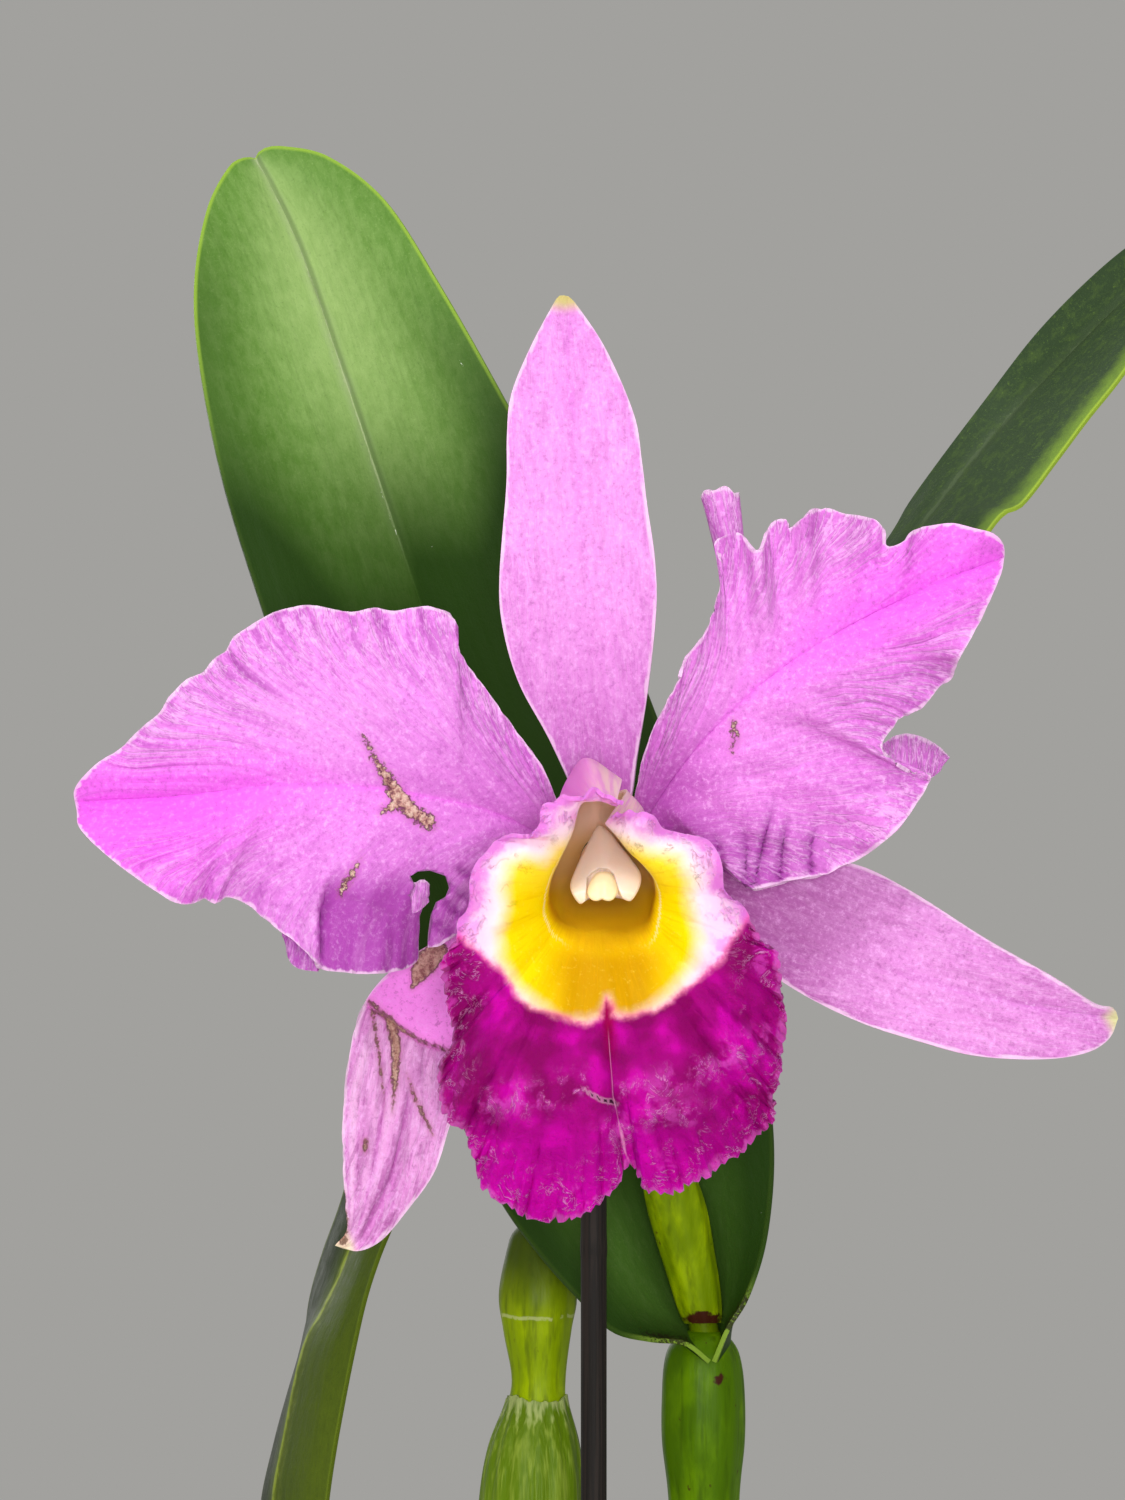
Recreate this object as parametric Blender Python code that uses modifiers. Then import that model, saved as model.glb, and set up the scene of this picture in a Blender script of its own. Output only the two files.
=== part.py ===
"""A cattleya orchid in flower, growing in bark in a plain clay pot.

Metres, +Z up. The origin is the centre of the pot's flat underside, and the flower faces -Y.
"""
import math
import random

import bmesh
import bpy
import numpy as np
from mathutils import Matrix, Vector

MM = 0.001
GAP = 0.3  # left between two pieces that touch, in mm, as every size below

# The flower's plane stands across the view. A place on the plant is given as it is seen from the
# eye in front of the flower: across, up, and forward of that plane. A place behind the plane is
# spread outward from the line of sight, so the outlines keep their look from the front.
FLOWER_Y = -45.0
FLOWER_Z = 283.0
EYE_DISTANCE = 600.0
EYE_X = -6.1
EYE_Z = 301.6

PETAL_THICKNESS = 0.8
LIP_THICKNESS = 0.8
LEAF_THICKNESS = 1.8
SHEATH_THICKNESS = 0.7

POT_HEIGHT = 115.0
POT_RIM_RADIUS = 65.0
POT_RIM_DEPTH = 22.0
POT_FOOT_RADIUS = 43.0
POT_WALL = 5.0
POT_FLOOR = 7.0
DRAIN_HOLES = 4
DRAIN_RADIUS = 5.0
DRAIN_RING = 24.0
BARK_LEVEL = 100.0
BARK_CHIPS = 22
STEM_CLEARANCE = 0.4
STAKE_RADIUS = 2.0

# Petals, sepals and leaves: two margins and the rib between them, from the claw to the tip,
# as across, up and forward.
PETAL_LEFT = {
    "left": [(-3.8, 1.7, -10.2), (-6.4, -0.7, -8), (-15, -5, -5), (-20.7, -8, -3), (-26.7, -10.4, -1),
             (-28.1, -12.3, 1), (-34.3, -13.3, 4), (-40, -12.4, 4), (-43.4, -11.8, 0),
             (-45.6, -9, -2), (-48.4, -5.6, 0), (-51.4, -2.9, -2),
             (-55.6, -3.3, 1), (-57.7, -2.4, -2), (-60, -3.4, 1), (-67.9, 1.1, 2),
             (-74.9, 7.1, -2), (-75.7, 11.7, -6)],
    "rib": [(-4.0, 3.2, -10.2), (-15, 9.3, -3), (-29.3, 12.6, 2), (-45, 13.6, 3), (-60.7, 12.1, 0),
            (-75.7, 11.7, -6)],
    "right": [(-3.6, 4.8, -10.2), (-4.9, 7.4, -7.5), (-7.9, 14.6, -2), (-15, 25, 1), (-20.4, 32.9, 1),
              (-22, 37, 3), (-24.6, 38.8, 4), (-29.3, 38.7, 2), (-36.4, 38.4, 3),
              (-42.9, 39.3, 1), (-48.6, 37.6, 2), (-54.3, 32.6, 0), (-60, 28.1, 1),
              (-63.6, 24.6, -1), (-69, 19.3, -2), (-74.3, 15.4, -4), (-75.7, 11.7, -6)],
    "veins": [(0, 0), (0.5, 0.54), (1, 1)],
}
PETAL_RIGHT = {
    "left": [(2.4, 5.6, -10.2), (3.9, 9.3, -8), (4.7, 14, -4), (7.1, 22.1, 0), (11, 29.7, 2),
             (13.9, 35, 2), (15.1, 41, 1), (14.9, 46, 2), (14.4, 51, 2), (13.9, 54.4, 2),
             (14.6, 56.6, 1), (17, 57.4, -1), (18.7, 54, -2), (19.8, 50, 0), (21.6, 47.8, 3), (23.4, 50, 0),
             (25.8, 51.4, 0), (28.3, 52, 2), (30.7, 53.1, -1), (35, 52.3, 1), (38.4, 51, -2),
             (40.3, 48.6, 1), (42.6, 48.6, 2), (44.8, 50.2, 0), (48.6, 50.9, -2), (53.6, 50, -1),
             (56.4, 48.1, -3), (56.9, 46.1, -4)],
    "rib": [(2.7, 4.2, -10.2), (12.1, 17.9, -1), (22.1, 27.9, 2), (33.6, 35.7, 3), (46.4, 42.1, 0),
            (56.9, 46.1, -4)],
    "right": [(2.9, 2.8, -10.2), (6.4, 2.3, -8), (12.1, 1.4, -5), (15.7, 0.9, -3), (17.7, 0.1, -2),
              (19.4, 0.4, -1), (20.4, -1, 3), (21.9, -1.3, 3), (25.7, -0.1, 0), (31.4, 1.1, 2),
              (36.4, 3.4, 0), (41.1, 6.9, 2), (44.7, 10.7, 0), (47.6, 14.6, -2), (48.2, 17.4, -4),
              (45.8, 20, -3), (43.6, 21, 0), (43.2, 22.8, 3), (44.8, 24.8, 1), (47.4, 27, 1),
              (49.3, 29, -1), (51.4, 32.6, 3), (54.3, 37.9, 1.5), (56.4, 43, -2), (56.9, 46.1, -4)],
    "veins": [(0, 0), (0.33, 0.38), (0.38, 0.43), (0.56, 0.49), (0.62, 0.52), (0.75, 0.67), (1, 1)],
}
SEPAL_TOP = {
    "left": [(-2.1, 6.5, -13), (-4.3, 12.1, -11), (-8.1, 20.3, -8), (-12.4, 28.3, -5),
             (-14.7, 36.4, -3), (-15.1, 43.6, -2), (-14.1, 56.4, -3), (-13.4, 69.3, -5),
             (-10.7, 76, -7), (-6.9, 82.9, -11), (-5.7, 83.6, -12)],
    "rib": [(-0.5, 6.7, -13.4), (-0.7, 20, -11), (-2.4, 37.1, -6), (-4, 57.1, -4), (-5, 71.4, -6),
            (-5.7, 83.6, -12)],
    "right": [(1.1, 6.5, -13), (3.6, 11.4, -11), (4.6, 17.9, -9), (6.1, 27.1, -6), (7.3, 38.6, -3),
              (6.7, 48.6, -2), (4.9, 58.6, -3), (4.1, 66.4, -4), (0.1, 75.7, -7), (-3.9, 82.3, -11),
              (-5.7, 83.6, -12)],
}
SEPAL_RIGHT = {
    "left": [(3.2, 2.4, -13), (12.1, 2.6, -12), (22.1, 3.1, -9), (34.3, 2.6, -7), (42.9, -1.1, -6),
             (54.3, -8.3, -5), (64.3, -14, -6), (70, -17.7, -8), (72.6, -18.3, -9),
             (73.2, -19.7, -10)],
    "rib": [(3.1, 1, -13.4), (16.4, -3.6, -11.5), (32.1, -10, -9), (47.9, -15, -8), (62.1, -18.3, -8),
            (73.2, -19.7, -10)],
    "right": [(2.6, -0.3, -13), (10.7, -5, -12), (18.6, -10, -10), (27.9, -16.1, -8), (36.4, -20.3, -6),
              (45, -23.1, -5), (52.9, -25.1, -5), (62.1, -25.6, -6), (68.6, -24.7, -7),
              (71.9, -22.6, -9), (73.2, -19.7, -10)],
}
SEPAL_LEFT = {
    "left": [(1.0, -0.7, -13), (-2.1, -7.9, -12.5), (-8.6, -15, -12), (-15, -20, -11),
             (-21.4, -24.3, -8), (-21.1, -30.7, -9), (-22.4, -35.7, -10), (-24.4, -41.7, -11),
             (-27.9, -46.7, -12), (-31.7, -51.1, -14), (-35.3, -52.9, -15), (-38.4, -52.2, -15)],
    "rib": [(-0.5, -0.8, -13.4), (-9.3, -8.6, -13), (-19.3, -15, -12), (-27.9, -21.4, -8),
            (-29.6, -31.4, -10), (-32.4, -42.9, -12), (-36.1, -51.4, -15), (-38.4, -52.2, -15)],
    "right": [(-2.1, -0.4, -13), (-9.3, -3.6, -12.5), (-19.3, -6.4, -12), (-27.1, -10.4, -10),
              (-31.4, -13.7, -9), (-34.6, -18, -7), (-36.4, -24.3, -8), (-37.3, -31.4, -10),
              (-37.7, -40, -12), (-37.1, -47.9, -14), (-36.9, -50.4, -15), (-38.4, -52.2, -15)],
}
LEAF_FRONT = {
    "left": [(14.2, -68.2, -36.5), (11.4, -66.2, -34), (6.4, -65.7, -33), (1, -64.3, -33),
             (-3.9, -59.6, -35), (-9.3, -53.6, -38), (-15, -45.7, -42), (-20.7, -34.3, -46),
             (-30.7, -11.4, -50), (-40.7, 14.3, -54), (-49, 38.6, -58), (-54.7, 57.1, -64),
             (-58.1, 74.3, -72), (-58.7, 85.7, -79), (-56.9, 95.7, -86), (-52.7, 102.3, -91),
             (-49.6, 103.7, -93)],
    "rib": [(15.1, -67.2, -48.5), (13.6, -62.9, -50), (9.6, -51.4, -52), (2.1, -32.9, -57),
            (-8.6, -5.7, -62), (-19.3, 20, -66), (-27.1, 41.4, -70), (-37.1, 71.4, -80),
            (-43.6, 90, -89), (-49.6, 103.7, -93)],
    "right": [(15.9, -68.2, -36.5), (17.6, -64, -35.5), (20.4, -59.3, -36), (23, -50.7, -38),
              (24, -38.6, -42), (22.6, -25.7, -46), (18.6, -8.6, -50), (7.1, 24, -56),
              (-2.1, 45.7, -60), (-14.3, 68.6, -66), (-23.6, 85, -74), (-31.4, 97.1, -83),
              (-39.3, 103.3, -90), (-45.7, 104.9, -93), (-49.6, 103.7, -93)],
}
LEAF_RIGHT = {
    "left": [(-10.6, -47.6, -53), (-7, -38, -60), (0, -20, -74), (13, 8, -92), (27, 30, -108),
             (40.1, 48.1, -122), (44.1, 54.6, -128), (53.7, 67.7, -136), (62.7, 79.4, -144),
             (74.3, 90.3, -152), (84, 95.5, -158), (90, 97, -160)],
    "rib": [(-8.9, -47, -59), (-4, -38, -66), (4, -20, -76), (18, 6, -90), (33, 32, -106),
            (47.6, 53.1, -122), (56.3, 64, -132), (64.3, 72.6, -142), (74.3, 82.6, -150),
            (90, 97, -160)],
    "right": [(-7.2, -47.6, -53), (-1, -41, -57), (9, -28, -66), (25, -2, -78), (42, 28, -96),
              (55, 50, -108), (59.7, 53.7, -112), (64.3, 59.6, -118), (69, 65.9, -124),
              (74.3, 72.6, -131), (82, 84, -144), (90, 97, -160)],
}
LEAF_LEFT = {
    "left": [(-46.9, -111, -96.5), (-48.3, -103, -101), (-49, -96, -105), (-48.9, -88.6, -108),
             (-47, -80.1, -110),
             (-45, -73.4, -110), (-43, -66.9, -107), (-42, -59.7, -103), (-40.1, -53, -98),
             (-37, -44, -92), (-34, -30, -84), (-29, -15, -76)],
    "rib": [(-44.9, -110.8, -94), (-46.6, -100, -93), (-46.8, -88.6, -91), (-45.4, -80.1, -90),
            (-42.7, -67.3, -88), (-39.6, -61.4, -87), (-36.9, -55.6, -86), (-33.6, -46, -83),
            (-30, -32, -79), (-29, -15, -76)],
    "right": [(-42.9, -111, -91), (-41.2, -104, -87), (-40.2, -96, -82), (-39.6, -88.6, -79),
              (-38.6, -81.6, -77),
              (-37.3, -74.4, -76), (-35.9, -67.3, -75), (-34.3, -60.1, -75), (-32.4, -54.1, -75),
              (-29, -45, -76), (-26.5, -31, -76), (-29, -15, -76)],
}

# The lip, as rings from the foot of its tube to its margin. Each ring runs from the top edge
# that lies over the other, down the left side, across below and up the right side.
LIP_THROAT = [(0, 11.5, 3), (-2.4, 12.6, 3), (-6.1, 7.1, 3), (-6.7, 1.4, 3), (-5, -2.9, 3),
              (-0.7, -4.6, 3), (3.6, -2.9, 3), (5.7, 1.4, 3), (5.3, 7.1, 3), (1.3, 11, 3)]
LIP_HOOD = [(2.2, 14.2, 15), (-2.6, 17.2, 15), (-5, 14.6, 14), (-6.4, 11.4, 14), (-7.9, 5.7, 14),
            (-8.3, 0, 14), (-7.1, -5, 14), (-4.3, -7.9, 14), (-0.4, -8.9, 14), (3.6, -7.9, 14),
            (6.4, -5, 14), (7.3, 0, 14), (6.4, 6.4, 14), (4.9, 10.2, 14), (2.9, 12.7, 13.6)]
LIP_RIM = [(1.6, 11, 25.6), (-0.7, 11.8, 26), (-3.6, 11.1, 26), (-5, 6.7, 25), (-6.7, 3.3, 24),
           (-8.3, 0, 23), (-9, -3.9, 22), (-8.3, -6.7, 22), (-6.9, -8.6, 22), (-3.6, -10.7, 23),
           (0, -11.4, 24), (3.9, -10.7, 23), (7.1, -8.6, 22), (8.1, -3.6, 22), (7.6, -0.4, 23),
           (6, 1.9, 24), (3.6, 4.3, 24), (1.6, 6.8, 23), (0.2, 8.4, 21.4)]
LIP_MARGIN = [(2.6, 10.6, 28.2), (0.8, 12, 28.6), (-2, 12.6, 29), (-5.3, 11.7, 30), (-8.6, 11, 30),
              (-10.4, 8.8, 29), (-12.4, 6.6, 28), (-15.4, 5.5, 26), (-18.1, 2.4, 25), (-19.6, -2.6, 26),
              (-21.4, -8.1, 27), (-23.2, -12.5, 25), (-22.6, -20.5, 26), (-23.8, -27.9, 24),
              (-21.9, -35, 26), (-18.1, -41.4, 23), (-14.3, -46.4, 25), (-7.9, -48.7, 21),
              (-1.1, -46.6, 25), (2, -42.4, 25), (3.6, -41.2, 27), (5.7, -43.6, 25),
              (10.7, -44.6, 22), (16.1, -40.7, 26), (22.1, -36.1, 23), (24.4, -31.4, 27),
              (25.4, -25, 24), (26, -18.6, 27), (24.7, -10.7, 24), (22.1, -7.9, 25),
              (20, -3.6, 25), (16.9, -1.1, 26), (16.4, 2.9, 26), (14.3, 5.7, 25), (9.6, 6.9, 26),
              (6.7, 9.6, 27.5), (4.6, 9.8, 26.5), (3, 9.2, 25.2), (1.8, 9.8, 24)]
LIP_SWELL = 0.26

# Stems, as places seen from the front, with the radius at each.
PEDUNCLE = [(-0.5, 3, -14.6), (-0.5, 2.9, -17), (-0.3, 0.6, -21.5), (0.5, -6, -25.5), (2, -14, -29),
            (4, -24, -33), (8, -38, -38), (11, -50, -40), (13.2, -60, -41.4), (14.9, -67.9, -42.2)]
PEDUNCLE_RADII = [2.4, 2.6, 2.9, 2.9, 2.6, 2.3, 2.2, 2.2, 2.2, 2.2]
FLOWER_SHEATH = [(13.5, -61.5, -41.5), (12.8, -58, -41.2), (11.6, -53, -40.6), (10.2, -47, -39.7),
                 (9.0, -41.5, -38.6)]
FLOWER_SHEATH_RADII = [2.9, 3.3, 3.7, 4.1, 3.9]

# Bulbs, rhizome and roots, as places in the pot's own frame.
BULB_FRONT = [(18, 3, 101.9), (17.9, 2.6, 108), (17.4, 1.5, 122), (16.4, -0.5, 145), (15.8, -2, 170),
              (15.5, -2.6, 187), (15.4, -2.9, 196), (15.2, -3, 203), (15.1, -3, 208.4)]
BULB_FRONT_RADII = [4.0, 4.1, 4.2, 4.4, 4.8, 5.4, 6.5, 6.2, 4.6]
BULB_MIDDLE = [(-14, 9, 101.9), (-13.4, 8.4, 125), (-12.2, 7, 150), (-11.2, 5.6, 172), (-10.7, 5, 185.5),
               (-10.4, 5, 193.8), (-10, 5, 200.5), (-9.8, 5.2, 205), (-10, 5.6, 212), (-9.9, 6.2, 218),
               (-9.6, 7.2, 228.6)]
BULB_MIDDLE_RADII = [4.4, 5.4, 6.8, 7.6, 7.5, 6.5, 4.5, 4.2, 5.3, 6.0, 4.0]
BULB_BACK = [(-34, 20, 101.9), (-34.3, 21, 106), (-37, 27, 115), (-41.5, 35, 128), (-46.5, 42.8, 141),
             (-50, 47.6, 150.4)]
BULB_BACK_RADII = [4.2, 4.6, 6.2, 7, 5.6, 3.4]
BULB_OLD = [(-47, 12, 102), (-47.2, 11.8, 105), (-48.2, 10.8, 111), (-51, 8, 120), (-52, 6, 132),
            (-51.5, 5, 142)]
BULB_OLD_RADII = [4.0, 4.2, 5.4, 6.4, 6.4, 3]
RHIZOME = [(-51.5, 9.4, 98.5), (-47, 12, 97), (-34, 20, 97), (-24, 15.5, 97), (-14, 9, 97), (1, 4, 97),
           (18, 3, 97), (28, 5, 99), (33, 6, 102.5)]
RHIZOME_RADII = [2.6, 4.4, 4.5, 4.3, 4.5, 4.3, 4.5, 4, 2.2]
ROOTS = [
    [(20, -4, 98), (25, -11, 101.5), (26, -20, 104), (32, -30, 104.5), (31, -38, 103), (33, -39, 96)],
    [(3, -3, 98), (7, -12, 103.5), (8, -22, 104.5), (2, -33, 104.5), (-3, -41, 103), (-4, -48, 96)],
    [(27.5, -1.6, 99.5), (34, -7, 103), (41, -11, 106), (46.5, -12, 107.5), (53.2, -12, 113.5),
     (57.8, -12, 117.9), (62.9, -12, 118.3), (66.8, -12, 114), (67.4, -12, 104), (67.4, -11, 95),
     (66, -9, 85)],
    [(-23.4, 6, 98), (-25, -2, 102), (-33, -11, 104), (-34, -22, 104), (-40, -28, 103), (-41, -30, 96)],
    [(8, 10.6, 98.5), (8, 18, 102.5), (2, 26, 104), (5, 36, 104), (-1, 45, 103), (-1, 49, 96)],
    [(-22.7, 21.8, 98.5), (-19, 29, 102), (-24, 37, 103.5), (-18, 44, 102.5), (-17, 48, 96)],
]
ROOT_RADIUS = 1.9
STAKE_TOP = (-1.64, -24.0, -22.0)


def clear_scene():
    """Starts from an empty scene."""
    for thing in list(bpy.data.objects):
        bpy.data.objects.remove(thing, do_unlink=True)


def collection(name):
    """A collection under the scene's own."""
    made = bpy.data.collections.new(name)
    bpy.context.scene.collection.children.link(made)
    return made


def linear(hex_colour):
    """An sRGB hex colour as linear red, green, blue and alpha."""
    parts = [int(hex_colour[i:i + 2], 16) / 255 for i in (1, 3, 5)]
    return [p / 12.92 if p <= 0.04045 else ((p + 0.055) / 1.055) ** 2.4 for p in parts] + [1.0]


def material(name, hex_colour, roughness):
    """A plain Principled material, one for each part."""
    made = bpy.data.materials.new(name)
    made.use_nodes = True
    shader = made.node_tree.nodes["Principled BSDF"]
    shader.inputs["Base Color"].default_value = linear(hex_colour)
    shader.inputs["Roughness"].default_value = roughness
    shader.inputs["Metallic"].default_value = 0.0
    made.diffuse_color = linear(hex_colour)
    return made


def keep(name, mesh, where, hex_colour, roughness):
    """Links a finished mesh under the part's name, with its own material."""
    mesh.name = name
    made = bpy.data.objects.new(name, mesh)
    where.objects.link(made)
    mesh.materials.clear()
    mesh.materials.append(material(name, hex_colour, roughness))
    mesh.shade_smooth()
    mesh.set_sharp_from_angle(angle=math.radians(40))
    return made


def bake(bm, name):
    """A bmesh as a mesh, with its normals pointing out."""
    bmesh.ops.recalc_face_normals(bm, faces=bm.faces)
    mesh = bpy.data.meshes.new(name)
    bm.to_mesh(mesh)
    bm.free()
    return mesh


def seen(place):
    """The world point, in metres, of a place given as it is seen from the front."""
    across, up, forward = place
    spread = (EYE_DISTANCE - forward) / EYE_DISTANCE
    x = EYE_X + (across - EYE_X) * spread
    z = EYE_Z + (up + FLOWER_Z - EYE_Z) * spread
    return Vector((x, FLOWER_Y - forward, z)) * MM


def smooth_line(points, fractions):
    """Places on one smooth curve through the points, at fractions of its length."""
    p = np.array(points, float)
    p = np.vstack([2 * p[0] - p[1], p, 2 * p[-1] - p[-2]])
    steps = np.linspace(0, 1, 10, endpoint=False)[:, None]
    spans = []
    for a, b, c, d in zip(p[:-3], p[1:-2], p[2:-1], p[3:]):
        spans.append(0.5 * (2 * b + (c - a) * steps + (2 * a - 5 * b + 4 * c - d) * steps ** 2
                            + (3 * b - a - 3 * c + d) * steps ** 3))
    fine = np.vstack(spans + [p[-2:-1]])
    length = np.concatenate([[0], np.cumsum(np.linalg.norm(np.diff(fine, axis=0), axis=1))])
    at = np.asarray(fractions) * length[-1]
    return np.stack([np.interp(at, length, fine[:, k]) for k in range(p.shape[1])], axis=1)


def sheet(name, place, across, along, thickness, where, hex_colour, roughness):
    """A thin sheet: a grid whose vertices place() puts, then given its thickness."""
    bm = bmesh.new()
    bmesh.ops.create_grid(bm, x_segments=across, y_segments=along, size=1)
    for vertex in bm.verts:
        vertex.co = place(vertex.co.x, (vertex.co.y + 1) / 2)
    bmesh.ops.remove_doubles(bm, verts=bm.verts, dist=1e-6)
    mesh = bpy.data.meshes.new(name)
    bm.to_mesh(mesh)
    bm.free()
    made = keep(name, mesh, where, hex_colour, roughness)
    made.modifiers.new("Split alike on both faces", "TRIANGULATE")
    wall = made.modifiers.new("Thickness", "SOLIDIFY")
    wall.thickness = thickness * MM
    wall.offset = 0
    return made


def blade(name, outline, cells, relief, thickness, where, hex_colour, clasp=0.0):
    """A petal, sepal or leaf between its two margins. relief() lifts each place forward.

    clasp bows the two halves apart at the foot of a leaf, which is folded round a stem. Where
    the outline gives veins, they say which place along the rib meets which along the margins.
    """
    across, along = cells
    fractions = np.linspace(0, 1, along + 1)
    lines = {key: smooth_line(outline[key], fractions) for key in ("left", "right")}
    margin_at, rib_at = zip(*outline.get("veins", [(0, 0), (1, 1)]))
    lines["rib"] = smooth_line(outline["rib"], np.interp(fractions, margin_at, rib_at))

    def place(side, v):
        row = round(v * along)
        margin = lines["left" if side < 0 else "right"][row]
        t = abs(side)
        spot = lines["rib"][row] * (1 - t) + margin * t
        half_width = np.linalg.norm(margin - lines["rib"][row])
        lift = relief(side, t, v) * min(1.0, 6 * v) * min(1.0, half_width / 12)
        bow = clasp * math.sin(math.pi * t) * math.exp(-v / 0.07) * (1 if side > 0 else -1)
        return seen((spot[0] + bow, spot[1], spot[2] + lift))

    return sheet(name, place, across, along, thickness, where, hex_colour, 0.45)


def petal_relief(side, t, v):
    """A petal: a groove at the rib, a slight crown and a ruffle that grows to the margin."""
    beats = 5.5 if side < 0 else 6.5
    groove = -0.7 * math.exp(-(t / 0.12) ** 2)
    crown = 1.3 * math.sin(math.pi * t)
    ruffle = 1.3 * t ** 2.5 * math.sin(math.tau * beats * v + 0.6)
    return groove + crown + ruffle


def sepal_relief(side, t, v):
    """A sepal: a shallow keel with its margins rolled slightly back."""
    return 0.5 * math.exp(-(t / 0.2) ** 2) - 1.1 * t ** 2


def leaf_relief(side, t, v):
    """A leaf: each half swells a little between the folded rib and the margin."""
    return 1.6 * math.sin(math.pi * t) * math.sin(math.pi * min(1, v + 0.1))


def clasping_relief(side, t, v):
    """The front leaf is straighter across, so its base stays folded round the flower stem."""
    return 1.2 * math.sin(math.pi * t) * min(1.0, 5 * v)


def lip(where):
    """The lip: a tube that wraps the column, opens at its mouth and spreads to a frilled margin."""
    columns, rows = 48, 12
    around = np.linspace(0, 1, columns + 1)
    foot = [(-0.5 + 3.9 * math.sin(turn), 3.0 + 3.9 * math.cos(turn), -7.6)
            for turn in np.linspace(-0.06, -math.tau + 0.06, 24)]
    rings = [smooth_line(ring, around) for ring in (foot, LIP_THROAT, LIP_HOOD, LIP_RIM, LIP_MARGIN)]
    spread = np.linalg.norm(rings[4] - rings[3], axis=1)
    middle = (rings[3] + rings[4]) / 2
    middle[:, 2] += LIP_SWELL * spread
    stations = np.array([rings[0], rings[1], rings[2], rings[3], middle, rings[4]])
    reach = [smooth_line(stations[:, k], np.linspace(0, 1, rows + 1)) for k in range(columns + 1)]

    def place(side, v):
        k = round((side + 1) / 2 * columns)
        spot = reach[k][round(v * rows)]
        out = max(0.0, v - 0.55) / 0.45
        frill = 1.5 * out ** 2 * math.sin(math.tau * 12 * around[k]) * min(1.0, spread[k] / 9)
        return seen((spot[0], spot[1], spot[2] + frill))

    return sheet("lip", place, columns, rows, LIP_THICKNESS, where, "#BE029E", 0.5)


def column(where):
    """The column: a rounded stalk that widens to two side wings and a sloping front."""
    rings = [  # forward, across, up, half width, half height, how much wider below, slope back
        (-14.2, -0.5, 3.0, 2.6, 2.6, 0, 0),
        (-12.4, -0.5, 3.0, 2.9, 2.9, 0, 0),
        (-6, -0.5, 3.0, 3.1, 3.1, 0, 0),
        (2, -0.6, 3.2, 3.2, 3.2, 0.05, 0),
        (9, -0.6, 3.2, 3.7, 3.9, 0.2, 1),
        (16, -0.4, 2.8, 4.3, 4.9, 0.35, 4),
        (21, -0.1, 1.6, 4.6, 4.9, 0.4, 6),
        (23.4, 0.0, 0.4, 4.2, 3.6, 0.3, 6),
    ]
    sides = 16
    bm = bmesh.new()
    bmesh.ops.create_cone(bm, cap_ends=True, segments=sides, radius1=1, radius2=1, depth=1)
    caps = [face for face in bm.faces if len(face.verts) == sides]
    bmesh.ops.delete(bm, geom=caps, context="FACES_ONLY")
    cuts = len(rings) - 2
    upright = [edge for edge in bm.edges if abs(edge.verts[0].co.z - edge.verts[1].co.z) > 0.5]
    bmesh.ops.subdivide_edges(bm, edges=upright, cuts=cuts, use_grid_fill=True)
    for vertex in bm.verts:
        forward, across, up, wide, high, below, slope = rings[round((vertex.co.z + 0.5) * (cuts + 1))]
        turn = math.atan2(vertex.co.x, vertex.co.y)
        top = math.cos(turn)
        x = across + wide * math.sin(turn) * (1 - below * top)
        vertex.co = seen((x, up + high * top, forward - slope * (1 + top) / 2))
    bmesh.ops.holes_fill(bm, edges=[edge for edge in bm.edges if edge.is_boundary])
    bmesh.ops.triangulate(bm, faces=bm.faces)
    return keep("column", bake(bm, "column"), where, "#EFD0B0", 0.4)


def anther_cap(where):
    """The cap over the pollen, on the column's sloping front."""
    bm = bmesh.new()
    bmesh.ops.create_uvsphere(bm, u_segments=12, v_segments=8, radius=1)
    for vertex in bm.verts:
        x, y, z = vertex.co
        vertex.co = seen((-0.3 + 2.1 * x * (1 - 0.15 * z), -1.0 + 2.2 * z, 23.5 - 1.4 * y - 1.8 * z))
    return keep("anther_cap", bake(bm, "anther_cap"), where, "#FDEEBF", 0.4)


def tube_mesh(name, points, radii, resolution, step, swell=0.0):
    """A closed tube along a smooth curve through world points in mm, with a radius at each.

    swell makes it wider and longer all round, as the hole that such a stem stands in.
    """
    length = sum((Vector(a) - Vector(b)).length for a, b in zip(points, points[1:]))
    count = max(4, round(length / step))
    line = smooth_line([tuple(p) + (r,) for p, r in zip(points, radii)], np.linspace(0, 1, count + 1))
    line[:, 3] += swell
    for end, before in ((0, 1), (-1, -2)):
        outward = line[end, :3] - line[before, :3]
        line[end, :3] += outward / np.linalg.norm(outward) * swell
    data = bpy.data.curves.new(name, "CURVE")
    data.dimensions = "3D"
    data.bevel_depth = MM
    data.bevel_resolution = resolution
    data.use_fill_caps = True
    spline = data.splines.new("POLY")
    spline.points.add(count)
    for point, (x, y, z, radius) in zip(spline.points, line):
        point.co = (x * MM, y * MM, z * MM, 1)
        point.radius = radius
    curve = bpy.data.objects.new(name, data)
    bpy.context.scene.collection.objects.link(curve)
    bpy.context.view_layer.update()
    mesh = bpy.data.meshes.new_from_object(curve.evaluated_get(bpy.context.evaluated_depsgraph_get()))
    bpy.data.objects.remove(curve, do_unlink=True)
    bm = bmesh.new()
    bm.from_mesh(mesh)
    bmesh.ops.remove_doubles(bm, verts=bm.verts, dist=1e-6)
    bmesh.ops.triangulate(bm, faces=bm.faces)
    return bake(bm, name)


def in_millimetres(places):
    """World points in mm of places that are given as seen from the front."""
    return [tuple(seen(place) / MM) for place in places]


def tube(name, points, radii, where, hex_colour, resolution=3, step=7.0):
    """A stem, bulb or root as its own part."""
    return keep(name, tube_mesh(name, points, radii, resolution, step), where, hex_colour, 0.5)


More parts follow.
